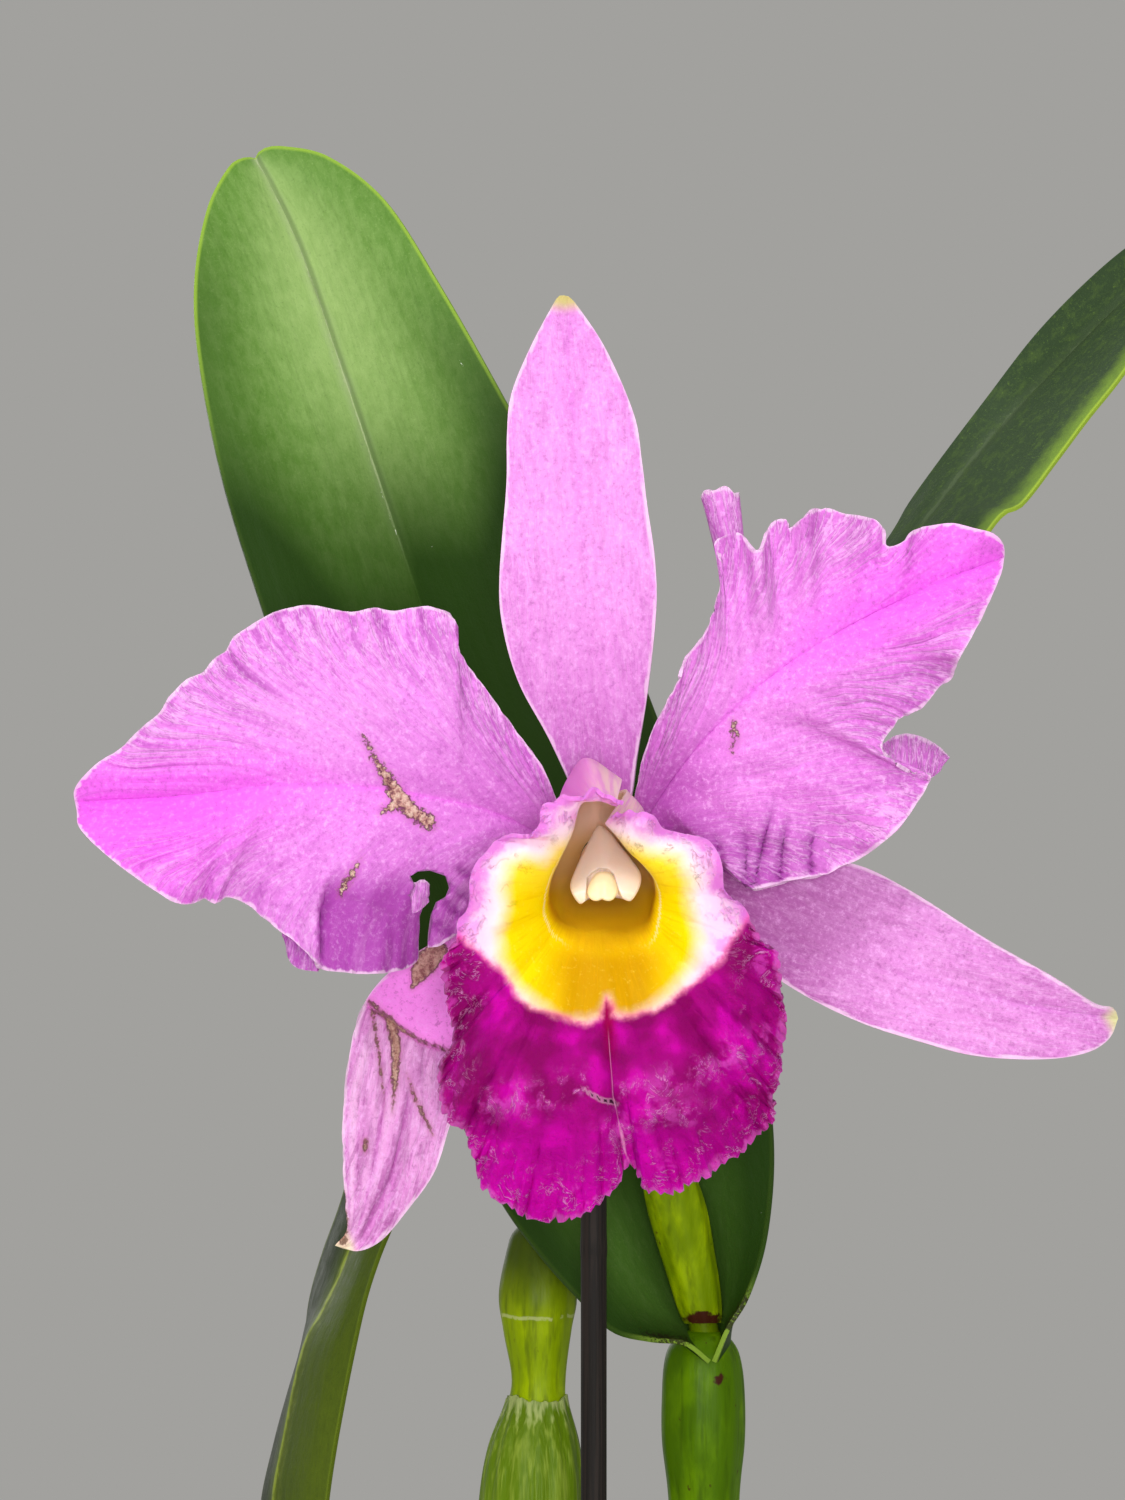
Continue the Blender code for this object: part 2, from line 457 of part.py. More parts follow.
def flower_sheath(where):
    """The papery bract that wraps the foot of the flower stem, open and torn at its top."""
    sides, rows = 16, 6
    line = smooth_line([p + (r,) for p, r in zip(FLOWER_SHEATH, FLOWER_SHEATH_RADII)],
                       np.linspace(0, 1, rows + 1))

    def place(side, v):
        x, z, f, radius = line[round(v * rows)]
        turn = math.pi * side
        torn = 2.0 * v ** 6 * math.sin(3 * turn + 0.5)
        return seen((x + radius * math.sin(turn), z + torn, f + radius * math.cos(turn)))

    made = sheet("flower_sheath", place, sides, rows, SHEATH_THICKNESS, where, "#7F8F1E", 0.6)
    return made


def pot(where, cutters):
    """The clay pot: a turned wall with a rim band, and drain holes round its solid centre."""
    rim_foot = POT_HEIGHT - POT_RIM_DEPTH
    outer = [(POT_RIM_RADIUS - 1, POT_HEIGHT), (POT_RIM_RADIUS, POT_HEIGHT - 1.5),
             (POT_RIM_RADIUS - 1.5, rim_foot + 1), (POT_RIM_RADIUS - 3, rim_foot),
             (POT_RIM_RADIUS - 5, rim_foot - 0.5), (POT_FOOT_RADIUS + 0.5, 1.5), (POT_FOOT_RADIUS - 1, 0)]
    inner = [(POT_FOOT_RADIUS - POT_WALL, POT_FLOOR), (POT_RIM_RADIUS - POT_WALL - 1, POT_HEIGHT - 1)]
    profile = [(0, 0)] + outer[::-1] + inner[::-1] + [(0, POT_FLOOR)]
    bm = bmesh.new()
    ring = [bm.verts.new((r * MM, 0, z * MM)) for r, z in profile]
    edges = [bm.edges.new(pair) for pair in zip(ring, ring[1:])]
    bmesh.ops.spin(bm, geom=ring + edges, cent=(0, 0, 0), axis=(0, 0, 1), angle=math.tau, steps=32,
                   use_merge=True)
    bmesh.ops.remove_doubles(bm, verts=bm.verts, dist=1e-6)
    made = keep("pot", bake(bm, "pot"), where, "#B5714B", 0.8)
    for k in range(DRAIN_HOLES):
        turn = math.tau * (k + 0.5) / DRAIN_HOLES
        bm = bmesh.new()
        bmesh.ops.create_cone(bm, cap_ends=True, segments=16, radius1=DRAIN_RADIUS * MM,
                              radius2=DRAIN_RADIUS * MM, depth=4 * POT_FLOOR * MM)
        spot = Vector((math.cos(turn) * DRAIN_RING, math.sin(turn) * DRAIN_RING, 0)) * MM
        bmesh.ops.translate(bm, verts=bm.verts, vec=spot)
        cutter = guide(f"drain_cutter_{k + 1}", bake(bm, "drain_cutter"), cutters)
        cut(made, cutter)
    return made


def guide(name, mesh, cutters):
    """A cutter, which isn't part of the object."""
    made = bpy.data.objects.new(name, mesh)
    made.hide_render = True
    made.display_type = "WIRE"
    cutters.objects.link(made)
    return made


def cut(made, cutter):
    """Takes one cutter's shape out of a part."""
    hole = made.modifiers.new("Hole", "BOOLEAN")
    hole.operation = "DIFFERENCE"
    hole.object = cutter
    hole.solver = "EXACT"


def bark_chip(pick, spot):
    """One chip of bark: a broken block with its own size and turn."""
    bm = bmesh.new()
    bmesh.ops.create_cube(bm, size=1)
    size = Vector((pick.uniform(13, 22), pick.uniform(8, 13), pick.uniform(5, 8)))
    for vertex in bm.verts:
        vertex.co = Vector(a * b * pick.uniform(0.75, 1.1) for a, b in zip(vertex.co, size)) * MM
    turn = Matrix.Rotation(pick.uniform(0, math.tau), 4, "Z") @ Matrix.Rotation(
        pick.uniform(-0.3, 0.3), 4, "X") @ Matrix.Rotation(pick.uniform(-0.3, 0.3), 4, "Y")
    bmesh.ops.transform(bm, matrix=Matrix.Translation(Vector(spot) * MM) @ turn, verts=bm.verts)
    bmesh.ops.triangulate(bm, faces=bm.faces)
    return bake(bm, "bark_chip")


def bark(where, cutters, stems):
    """Bark in the pot: a filled bed with chips all over it, and a plain hole for each stem."""
    top = BARK_LEVEL
    slope = (POT_RIM_RADIUS - 1 - POT_FOOT_RADIUS) / (POT_HEIGHT - 1 - POT_FLOOR)
    low = POT_FOOT_RADIUS - POT_WALL - GAP - 0.1
    high = low + slope * (top - POT_FLOOR)
    bm = bmesh.new()
    bmesh.ops.create_cone(bm, cap_ends=True, segments=32, radius1=low * MM, radius2=high * MM,
                          depth=(top - POT_FLOOR - GAP) * MM)
    bmesh.ops.translate(bm, verts=bm.verts, vec=(0, 0, (top + POT_FLOOR + GAP) / 2 * MM))
    made = keep("bark_medium", bake(bm, "bark_medium"), where, "#6B4630", 0.9)
    chips = bpy.data.collections.new("bark_chips")
    cutters.children.link(chips)
    pick = random.Random(7)
    for k in range(BARK_CHIPS):
        ring = math.sqrt((k + 0.5) / BARK_CHIPS) * (high - 9)
        turn = k * math.radians(137.5)
        spot = (ring * math.cos(turn), ring * math.sin(turn), top + pick.uniform(-0.8, 1.4))
        guide(f"bark_chip_{k + 1}", bark_chip(pick, spot), chips)
    union = made.modifiers.new("Chips", "BOOLEAN")
    union.operation = "UNION"
    union.operand_type = "COLLECTION"
    union.collection = chips
    union.solver = "EXACT"
    settle(made)
    for chip in list(chips.objects):
        bpy.data.objects.remove(chip, do_unlink=True)
    for name, points, radii, resolution, step in stems:
        hole = tube_mesh(name, points, radii, resolution, step, STEM_CLEARANCE)
        cut(made, guide(f"{name}_cutter", hole, cutters))
    settle(made)
    drop_scraps(made.data)
    return made


def drop_scraps(mesh):
    """Keeps only the largest of a mesh's loose bodies."""
    bm = bmesh.new()
    bm.from_mesh(mesh)
    left = set(bm.verts)
    bodies = []
    while left:
        body = {left.pop()}
        edge_of_body = list(body)
        while edge_of_body:
            vertex = edge_of_body.pop()
            near = {edge.other_vert(vertex) for edge in vertex.link_edges} - body
            body |= near
            edge_of_body += list(near)
        left -= body
        bodies.append(body)
    bodies.sort(key=len)
    for scrap in bodies[:-1]:
        bmesh.ops.delete(bm, geom=list(scrap), context="VERTS")
    bm.to_mesh(mesh)
    bm.free()


def settle(made):
    """Applies a part's modifiers to its mesh."""
    bpy.context.view_layer.update()
    shape = made.evaluated_get(bpy.context.evaluated_depsgraph_get())
    mesh = bpy.data.meshes.new_from_object(shape)
    made.modifiers.clear()
    made.data = mesh


def main():
    clear_scene()
    parts = collection("cattleya_orchid")
    cutters = collection("cutters")
    blade("petal_left", PETAL_LEFT, (16, 30), petal_relief, PETAL_THICKNESS, parts, "#DD7DD7")
    blade("petal_right", PETAL_RIGHT, (16, 32), petal_relief, PETAL_THICKNESS, parts, "#E079D8")
    blade("dorsal_sepal", SEPAL_TOP, (8, 20), sepal_relief, PETAL_THICKNESS, parts, "#F7A7F3")
    blade("lateral_sepal_right", SEPAL_RIGHT, (8, 18), sepal_relief, PETAL_THICKNESS, parts, "#F0A0EA")
    blade("lateral_sepal_left", SEPAL_LEFT, (8, 20), sepal_relief, PETAL_THICKNESS, parts, "#E8A0DC")
    lip(parts)
    column(parts)
    anther_cap(parts)
    blade("leaf_front", LEAF_FRONT, (8, 30), clasping_relief, LEAF_THICKNESS, parts, "#6F8F4A", 3.9)
    blade("leaf_right", LEAF_RIGHT, (6, 24), leaf_relief, LEAF_THICKNESS, parts, "#3F4E39", 1.5)
    blade("leaf_left", LEAF_LEFT, (6, 18), leaf_relief, LEAF_THICKNESS, parts, "#47570F", 1.5)
    tube("flower_stem", in_millimetres(PEDUNCLE), PEDUNCLE_RADII, parts, "#6B7D02", 2, 3.0)
    flower_sheath(parts)
    stake = in_millimetres([STAKE_TOP])[0]
    stems = [("pseudobulb_front", BULB_FRONT, BULB_FRONT_RADII),
             ("pseudobulb_middle", BULB_MIDDLE, BULB_MIDDLE_RADII),
             ("pseudobulb_back", BULB_BACK, BULB_BACK_RADII),
             ("pseudobulb_old", BULB_OLD, BULB_OLD_RADII)]
    for name, points, radii in stems:
        tube(name, points, radii, parts, "#527101")
    stems = [stem + (3, 7.0) for stem in stems]
    tube("rhizome", RHIZOME, RHIZOME_RADII, parts, "#5F5A2A", 2)
    stems.append(("rhizome", RHIZOME, RHIZOME_RADII, 2, 7.0))
    for k, points in enumerate(ROOTS):
        radii = [ROOT_RADIUS] * (len(points) - 1) + [ROOT_RADIUS * 0.6]
        tube(f"root_{k + 1}", points, radii, parts, "#C9C7A8", 2, 8.0)
        stems.append((f"root_{k + 1}", points, radii, 2, 8.0))
    post = [(stake[0], stake[1], 12), (stake[0], stake[1], BARK_LEVEL), stake]
    tube("stake", post, [STAKE_RADIUS] * 3, parts, "#241F1A", 3, 60.0)
    stems.append(("stake", post, [STAKE_RADIUS] * 3, 3, 60.0))
    pot(parts, cutters)
    bark(parts, cutters, stems)


main()
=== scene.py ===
"""A cattleya orchid in flower, in bark in a clay pot: its finished shapes and surfaces.

Metres, +Z up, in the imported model's own frame; the flower faces -Y. Petals, leaves, the lip and
the stems start as grids whose vertices a formula places, because a waved sheet that follows two
drawn margins isn't something that extruding and bevelling gives.
"""

import math
import random

import bpy
import numpy as np
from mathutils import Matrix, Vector


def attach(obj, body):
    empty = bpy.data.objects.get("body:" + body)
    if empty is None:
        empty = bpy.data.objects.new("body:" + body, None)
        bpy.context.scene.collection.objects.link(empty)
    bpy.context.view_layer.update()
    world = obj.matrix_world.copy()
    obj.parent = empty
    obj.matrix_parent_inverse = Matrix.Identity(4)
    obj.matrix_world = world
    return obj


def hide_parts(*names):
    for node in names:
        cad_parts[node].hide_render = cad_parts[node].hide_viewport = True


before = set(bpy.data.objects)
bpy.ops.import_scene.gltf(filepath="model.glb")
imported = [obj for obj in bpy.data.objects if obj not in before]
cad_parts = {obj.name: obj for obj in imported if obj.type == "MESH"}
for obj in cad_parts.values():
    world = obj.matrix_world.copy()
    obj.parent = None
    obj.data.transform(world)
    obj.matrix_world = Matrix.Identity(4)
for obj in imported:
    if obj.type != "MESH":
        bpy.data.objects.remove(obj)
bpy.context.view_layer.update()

MM = 0.001

# The flower's plane stands across the view. A place on the plant is given as it is seen from the
# eye in front of the flower: across, up, and forward of that plane, in mm. A place behind the
# plane is spread outward from the line of sight, so the outlines keep their look from the front.
FLOWER_Y = -45.0
FLOWER_Z = 283.0
EYE_DISTANCE = 600.0
EYE_X = -6.1
EYE_Z = 301.6

# 7 pixels of the 1500-pixel-high photograph cover 1 mm of the flower's plane.
PICTURE_HEIGHT = 1500 / 7
SENSOR_HEIGHT = 36.0

PETAL_THICKNESS = 0.55
LIP_THICKNESS = 0.6
LEAF_THICKNESS = 1.7
LEAF_EDGE = 0.25
SHEATH_THICKNESS = 0.5
BULB_SHEATH_THICKNESS = 0.35

# Edges sharper than this stay sharp; a mark seen from the front goes this deep, in mm.
SHARP_EDGE = math.radians(60)
THROUGH = 400

# Each blade: two margins and the rib between them, from the claw to the tip, as across, up and
# forward. "meet" lists the points of the left margin, rib and right margin that one vein joins.
PETAL_LEFT = {
    "left": [(-3.8, 1.7, -10.2), (-6.4, -0.7, -8), (-15, -3.5, -5.6), (-20.3, -7.1, -3.2),
             (-23.6, -9.3, -2), (-25.7, -9.7, -1.4), (-27.7, -12.1, 0.7), (-30.5, -13.1, 2.2),
             (-34.3, -13.4, 4), (-37.7, -13.1, 4), (-40.6, -12.7, 3.8), (-41.3, -12, 3.6),
             (-42.1, -10.7, 2.4), (-44, -9, 0.6), (-47.3, -6.5, -0.4), (-48.7, -5.4, 0),
             (-50.7, -3.6, -1.5), (-53.3, -2.4, -0.7), (-54.6, -2.4, 0.4), (-55.7, -3.3, 0.9),
             (-57.3, -2.5, -1.2), (-58.9, -3.2, -0.3), (-61.1, -3.3, 1.1), (-63.6, -1.9, 1.4),
             (-66.4, 0, 1.8), (-69.3, 2.1, 1.2), (-71.7, 4, -0.1), (-73.9, 6, -1.3),
             (-75.2, 7.8, -2.8), (-75.3, 9.6, -4.3), (-75.6, 11.2, -5.8)],
    "rib": [(-4.0, 3.2, -10.2), (-15, 9.3, -3), (-29.3, 12.6, 2), (-45, 13.6, 3), (-60.7, 12.1, 0),
            (-75.6, 11.2, -5.8)],
    "right": [(-3.6, 4.8, -10.2), (-4.9, 7.4, -7.5), (-7.1, 11.7, -4.1), (-9.3, 16.7, -1.4),
              (-13.6, 22.4, 0.3), (-18.3, 28.9, 1), (-20, 31.1, 1), (-21.4, 34.3, 1.8),
              (-21.3, 36.7, 2.8), (-22.6, 38.3, 3.4), (-25.4, 39.1, 3.7), (-27.4, 38.9, 2.8),
              (-30.3, 38.4, 2.1), (-33.1, 38.9, 2.5), (-36.4, 38.3, 3), (-39.7, 38.9, 2),
              (-42.4, 39.3, 1.1), (-44.6, 38.9, 1.3), (-46.9, 38.4, 1.7), (-48.9, 37.4, 1.9),
              (-51.1, 36.1, 1.2), (-53.1, 34.6, 0.6), (-54, 32.9, 0.1), (-56, 31.4, 0.3),
              (-57.4, 29.6, 0.6), (-59.7, 28.6, 0.9), (-62.6, 25.7, -0.4), (-63.6, 23.9, -1.1),
              (-66, 21.9, -1.5), (-69.3, 18.6, -2.2), (-72.1, 16.9, -3.2), (-74.6, 14.7, -4.4),
              (-75.7, 12.9, -5.2), (-75.6, 11.2, -5.8)],
    "meet": [(4, 1.5, 9), (7, 2.15, 13), (11, 2.65, 18), (19, 3.25, 25), (24, 4.1, 29)],
}
PETAL_RIGHT = {
    "left": [(2.4, 5.6, -10.2), (3.9, 9.3, -8), (4.7, 13.7, -4.2), (5.1, 16.4, -2.8),
             (6.1, 19.6, -1.3), (7.3, 22.4, 0.1), (8.9, 25.6, 0.9), (10.4, 28.3, 1.6),
             (11.4, 31.6, 2), (13.3, 33.9, 2), (14.9, 36.7, 1.7), (16, 39.9, 1.2), (16.7, 42.6, 1.3),
             (16.6, 44.6, 1.7), (16.3, 46.6, 2), (15.7, 48.4, 2), (16.7, 49, 2), (18, 49.6, 0.4),
             (19.4, 49.5, 0.1), (20.2, 48.4, 1.3), (21.3, 47.2, 3), (22.2, 47.4, 3), (22.7, 48.7, 1.7),
             (23.2, 50.2, 0.2), (24.3, 51.3, 0), (25.7, 51.5, 0.3), (26.4, 50.2, 0.6), (27.6, 51.1, 1.3),
             (28.6, 52.1, 1.7), (29.7, 53.1, 0), (30.7, 52.9, -0.9), (31.9, 53.1, -0.5),
             (33.9, 52.3, 0.5), (36.3, 52, -0.1), (38.7, 51.3, -2), (39.8, 50.1, -0.5),
             (39.9, 48.2, 1), (40.8, 47.6, 1.1), (42.9, 48.6, 1.9), (44.1, 50, 0.5),
             (46.6, 50.6, -0.9), (49.7, 50.9, -1.8), (52.6, 50.3, -1.2), (55.3, 49.6, -2),
             (56.7, 48.1, -3), (56.9, 46.1, -4)],
    "rib": [(2.7, 4.2, -10.2), (12.1, 17.9, -1), (22.1, 27.9, 2), (33.6, 35.7, 3), (46.4, 42.1, 0),
            (56.9, 46.1, -4)],
    "right": [(2.9, 2.8, -10.2), (6.4, 2.3, -8), (13.6, 2.2, -4.4), (17, 1.3, -2.6),
              (19.1, 0.1, -1.2), (20.1, -0.3, 1.3), (20.9, -1.4, 3), (23.6, -0.9, 1.7),
              (26.7, 0, 0.3), (30.7, 0.6, 1.7), (33.9, 2, 1.1), (36.3, 3.1, 0.1), (39.4, 5.3, 1.2),
              (41.9, 7.3, 1.7), (43.9, 10.1, 0.4), (45.9, 13.3, -0.6), (46.4, 15, 0.6),
              (44.1, 15.3, 1.6), (42.1, 16.3, 2.4), (40.4, 17.6, 2.6), (39.5, 19.1, 2.2),
              (40.3, 20.9, 1.6), (41.3, 22.1, 2.6), (41.9, 23.1, 3), (44.9, 24.4, 1.2),
              (46.1, 25.6, 1), (47.7, 27.6, 0.5), (49.4, 28.9, -1), (50.6, 31.6, 1.7),
              (52.1, 34.3, 2.5), (53.7, 37.4, 1.7), (55.7, 41.9, -1.2), (56.6, 44, -2.7),
              (56.9, 46.1, -4)],
    "meet": [(6, 0.55, 6), (10, 1.1, 10), (12, 1.4, 13), (14, 1.65, 15), (23, 2.35, 23),
             (30, 2.8, 25), (36, 3.4, 28), (41, 4.2, 31)],
}
SEPAL_TOP = {
    "left": [(-2.1, 6.5, -13), (-4.3, 12.1, -11), (-8.1, 20.3, -8), (-12.4, 28.3, -5),
             (-14.7, 36.4, -3), (-15.1, 43.6, -2), (-14.1, 56.4, -3), (-14, 63.5, -4),
             (-13.4, 69.3, -5), (-10.7, 76, -7), (-7.4, 82.2, -11), (-6.5, 83.3, -12)],
    "rib": [(-0.5, 6.7, -13.4), (-0.7, 20, -11), (-2.4, 37.1, -6), (-4, 57.1, -4), (-5, 71.4, -6),
            (-5.9, 83.4, -12)],
    "right": [(1.1, 6.5, -13), (3.6, 11.4, -11), (4.6, 17.9, -9), (6.1, 27.1, -6), (7.3, 38.6, -3),
              (7.1, 46, -2), (6, 53.6, -2), (5.2, 60, -3), (4.1, 66.4, -4), (0.1, 75.7, -7),
              (-4, 81.9, -11), (-5.3, 83.2, -12)],
}
SEPAL_RIGHT = {
    "left": [(3.2, 2.4, -13), (12.1, 2.6, -12), (22.1, 3.1, -9), (34.3, 2.6, -7), (42.9, -1.1, -6),
             (54.3, -8.3, -5), (64.3, -14, -6), (70, -17.7, -8), (72.6, -18.3, -9),
             (73.2, -19.7, -10)],
    "rib": [(3.1, 1, -13.4), (16.4, -3.6, -11.5), (32.1, -10, -9), (47.9, -15, -8), (62.1, -18.3, -8),
            (73.2, -19.7, -10)],
    "right": [(2.6, -0.3, -13), (10.7, -5, -12), (18.6, -10, -10), (27.9, -16.1, -8), (36.4, -20.3, -6),
              (45, -23.1, -5), (52.9, -25.1, -5), (62.1, -25.6, -6), (68.6, -24.7, -7),
              (71.9, -22.6, -9), (73.2, -19.7, -10)],
}
SEPAL_LEFT = {
    "left": [(1.0, -0.7, -13), (-2.1, -7.9, -12.5), (-8.6, -15, -12), (-15, -20, -11),
             (-21.4, -24.3, -8), (-21.1, -30.7, -9), (-22.4, -35.7, -10), (-24.4, -41.7, -11),
             (-27.9, -46.7, -12), (-31.7, -51.1, -14), (-35.3, -52.9, -15), (-38.6, -52.2, -15)],
    "rib": [(-0.5, -0.8, -13.4), (-9.3, -8.6, -13), (-19.3, -15, -12), (-27.9, -21.4, -8),
            (-29.6, -31.4, -10), (-32.4, -42.9, -12), (-36.1, -51.4, -15), (-38.6, -52.2, -15)],
    "right": [(-2.1, -0.4, -13), (-9.3, -3.6, -12.5), (-19.3, -6.4, -12), (-27.1, -10.4, -10),
              (-31.4, -13.7, -9), (-34.6, -18, -7), (-36.4, -24.3, -8), (-37.3, -31.4, -10),
              (-37.4, -40, -12), (-36.9, -47.9, -14), (-37, -50.6, -15), (-38.6, -52.2, -15)],
}
LEAF_FRONT = {
    "left": [(14.9, -68.8, -36.0), (11.4, -66.2, -34), (6.4, -65.7, -33), (1, -64.3, -33),
             (-3.9, -59.6, -35), (-9.3, -53.6, -38), (-15, -45.7, -42), (-20.7, -34.3, -46),
             (-30.7, -11.4, -50), (-40.7, 14.3, -54), (-49, 38.6, -58), (-54.7, 57.1, -64),
             (-58.1, 74.3, -72), (-58.7, 85.7, -79), (-56.9, 95.7, -86), (-53.9, 101.6, -90),
             (-51.8, 103, -91.6), (-50, 103, -93)],
    "rib": [(15.1, -67.2, -48.5), (13.6, -62.9, -50), (9.6, -51.4, -52), (2.1, -32.9, -57),
            (-8.6, -5.7, -62), (-19.3, 20, -66), (-27.1, 41.4, -70), (-37.1, 71.4, -80),
            (-43.6, 90, -89), (-50, 103, -93)],
    "right": [(15.5, -68.8, -36.0), (17.6, -64, -35.5), (20.4, -59.3, -36), (23, -50.7, -38),
              (24, -38.6, -42), (22.6, -25.7, -46), (18.6, -8.6, -50), (7.1, 24, -56),
              (-2.1, 45.7, -60), (-14.3, 68.6, -66), (-23.6, 85, -74), (-31.4, 97.1, -83),
              (-39.3, 103.2, -90), (-45.7, 104.7, -93), (-48.8, 104.4, -93.2), (-50, 103, -93)],
}
LEAF_RIGHT = {
    "left": [(-10.6, -47.6, -53), (-7, -38, -60), (0, -20, -74), (13, 8, -92), (27, 30, -108),
             (40.1, 48.1, -122), (44.1, 54.6, -128), (53.7, 67.7, -136), (62.7, 79.4, -144),
             (74.3, 90.3, -152), (84, 95.5, -158), (90, 97, -160)],
    "rib": [(-8.9, -47, -59), (-4, -38, -66), (4, -20, -76), (18, 6, -90), (33, 32, -106),
            (47.6, 53.1, -122), (56.3, 64, -132), (64.3, 72.6, -142), (74.3, 82.6, -150),
            (90, 97, -160)],
    "right": [(-7.2, -47.6, -53), (-1, -41, -57), (9, -28, -66), (25, -2, -78), (42, 28, -96),
              (55, 50, -108), (59.7, 53.7, -112), (64.3, 59.6, -118), (69, 65.9, -124),
              (74.3, 72.6, -131), (82, 84, -144), (90, 97, -160)],
}
LEAF_LEFT = {
    "left": [(-46.9, -111, -96.5), (-48.3, -103, -101), (-49, -96, -105), (-48.9, -88.6, -108),
             (-47, -80.1, -110), (-45, -73.4, -110), (-43, -66.9, -107), (-42, -59.7, -103),
             (-40.1, -53, -98), (-37, -44, -92), (-34, -30, -84), (-29, -15, -76)],
    "rib": [(-44.9, -110.8, -94), (-46.6, -100, -93), (-46.8, -88.6, -91), (-45.4, -80.1, -90),
            (-42.7, -67.3, -88), (-39.6, -61.4, -87), (-36.9, -55.6, -86), (-33.6, -46, -83),
            (-30, -32, -79), (-29, -15, -76)],
    "right": [(-42.9, -111, -91), (-41.2, -104, -87), (-40.2, -96, -82), (-39.6, -88.6, -79),
              (-38.6, -81.6, -77), (-37.3, -74.4, -76), (-35.9, -67.3, -75), (-34.3, -60.1, -75),
              (-32.4, -54.1, -75), (-29, -45, -76), (-26.5, -31, -76), (-29, -15, -76)],
}

# The lip, as rings from the foot of its tube to its margin. Each ring runs from the top edge
# that lies over the other, down the left side, across below and up the right side.
LIP_FOOT = (-0.5, 3.0, -7.6)
LIP_FOOT_RADIUS = 3.1
LIP_THROAT = [(0.8, 11.6, 3.2), (-2.4, 12.6, 3), (-6.1, 7.1, 3), (-6.7, 1.4, 3), (-4.7, -2.4, 6),
              (-0.7, -3.5, 8), (3.3, -2.4, 6), (5.7, 1.4, 3), (5.3, 7.1, 3), (-0.4, 10.8, 2.6)]
LIP_HOOD = [(2.2, 14.2, 15), (-2.6, 17.2, 15), (-5, 14.6, 14), (-6.4, 11.4, 14), (-7.9, 5.7, 14),
            (-8.3, 0, 14), (-7.1, -4.4, 15.5), (-4.3, -6.2, 17), (-0.4, -6.6, 17.6), (3.6, -6.2, 17),
            (6.4, -4.4, 15.5), (7.3, 0, 14), (6.4, 6.4, 14), (4.9, 10.2, 14), (2.9, 12.7, 13.6)]
LIP_RIM = [(1.6, 11, 25.6), (-0.7, 11.8, 26), (-3.6, 11.1, 26), (-5, 6.7, 25), (-6.7, 3.3, 24),
           (-8.3, 0, 23), (-9, -3.9, 22), (-8.3, -6.7, 22), (-6.9, -8.6, 22), (-3.6, -10.7, 23),
           (0, -11.4, 24), (3.9, -10.7, 23), (7.1, -8.6, 22), (8.1, -3.6, 22), (7.6, -0.4, 23),
           (6, 1.9, 24), (3.6, 4.3, 24), (1.6, 6.8, 23), (0.2, 8.4, 21.4)]
LIP_MARGIN = [(2.6, 10.6, 28.2), (0.9, 12, 28.6), (-0.7, 12.4, 28.8), (-2, 12.6, 29), (-3.6, 11.9, 29.5),
              (-5.3, 11.7, 30), (-6.4, 11.7, 30), (-8.3, 11, 30), (-9.3, 9.7, 29.5), (-9.4, 8.3, 29.1),
              (-10.7, 6.4, 28.3), (-12.3, 6.3, 28), (-13.6, 6.4, 27.3), (-15.4, 5.7, 26),
              (-16.9, 3.9, 25.5), (-18.3, 2.4, 25), (-19.3, 0, 25.5), (-19.3, -2.4, 26),
              (-19.7, -4.3, 26.3), (-21, -6.1, 26.7), (-21.1, -8.1, 27), (-22.1, -9.6, 26.3),
              (-23.3, -11.4, 25.4), (-23.4, -13.3, 25.1), (-22.7, -17.1, 25.6), (-21.8, -21.9, 25.7),
              (-22.1, -24.6, 24.8), (-23.6, -26.3, 24.5), (-23.7, -28.6, 24.1), (-23.5, -31.4, 24.9),
              (-22.9, -33.7, 25.6), (-21.7, -35, 26), (-20.5, -35.4, 25.7), (-19.6, -36.7, 24.9),
              (-19.4, -38.6, 24.3), (-18.5, -40.2, 23.5), (-18.2, -42.4, 23.2), (-17.2, -44.3, 23.9),
              (-15.4, -45.7, 24.6), (-13.6, -46.6, 24.6), (-11.7, -48, 23.2), (-9.3, -48.6, 21.8),
              (-6, -48.7, 22), (-4, -48.1, 23.2), (-1.9, -47.1, 24.6), (-0.5, -45.7, 25),
              (1.6, -43.9, 25), (2.5, -41.7, 25.9), (3.3, -40.6, 27), (4.3, -41.3, 26.7),
              (5.2, -42.9, 25.5), (5.7, -44.3, 25), (7.9, -44.7, 23.6), (10.3, -44.7, 22.2),
              (12.1, -43.3, 23.2), (14.6, -42.4, 24.6), (16.6, -40.6, 25.8), (18.9, -39.4, 24.9),
              (20.7, -37.6, 23.8), (22.1, -36.1, 23), (23.8, -34.7, 24.6), (24.3, -32.4, 26.4),
              (23.9, -30.8, 26.9), (24.9, -28.6, 25.6), (25.1, -25.3, 24.1), (25.5, -22.9, 25),
              (25.9, -20.4, 26.2), (25.5, -17.6, 26.6), (25, -15.3, 25.7), (25, -12.9, 24.8),
              (24.6, -10.6, 24.1), (23.6, -9.6, 24.4), (22.6, -9, 24.7), (21.1, -6.7, 25),
              (19.7, -3.9, 25), (17.9, -2.4, 25.6), (16.9, -1, 26), (16.7, 1.9, 26), (16, 3.9, 25.7),
              (14.6, 5.6, 25), (12.6, 6.2, 25.4), (9.7, 6.9, 26), (7.9, 7.8, 26.7), (6.4, 9.5, 27.4),
              (4.6, 9.9, 26.5), (3.2, 9.3, 25.2), (1.8, 9.8, 24)]
# One fold of the lip joins these points of the throat, hood, rim and margin.
LIP_MEET = [(1.5, 3, 2, 6), (3.3, 5.5, 6, 20), (5, 8, 10, 48), (7, 10.7, 13, 72), (8, 13, 16, 82)]
# How far the spread lip bulges forward between its rim and its margin, as a share of the way.
LIP_SWELL = 0.26
# Nothing of the lip stands much further forward than this.
LIP_FRONT = 31.0
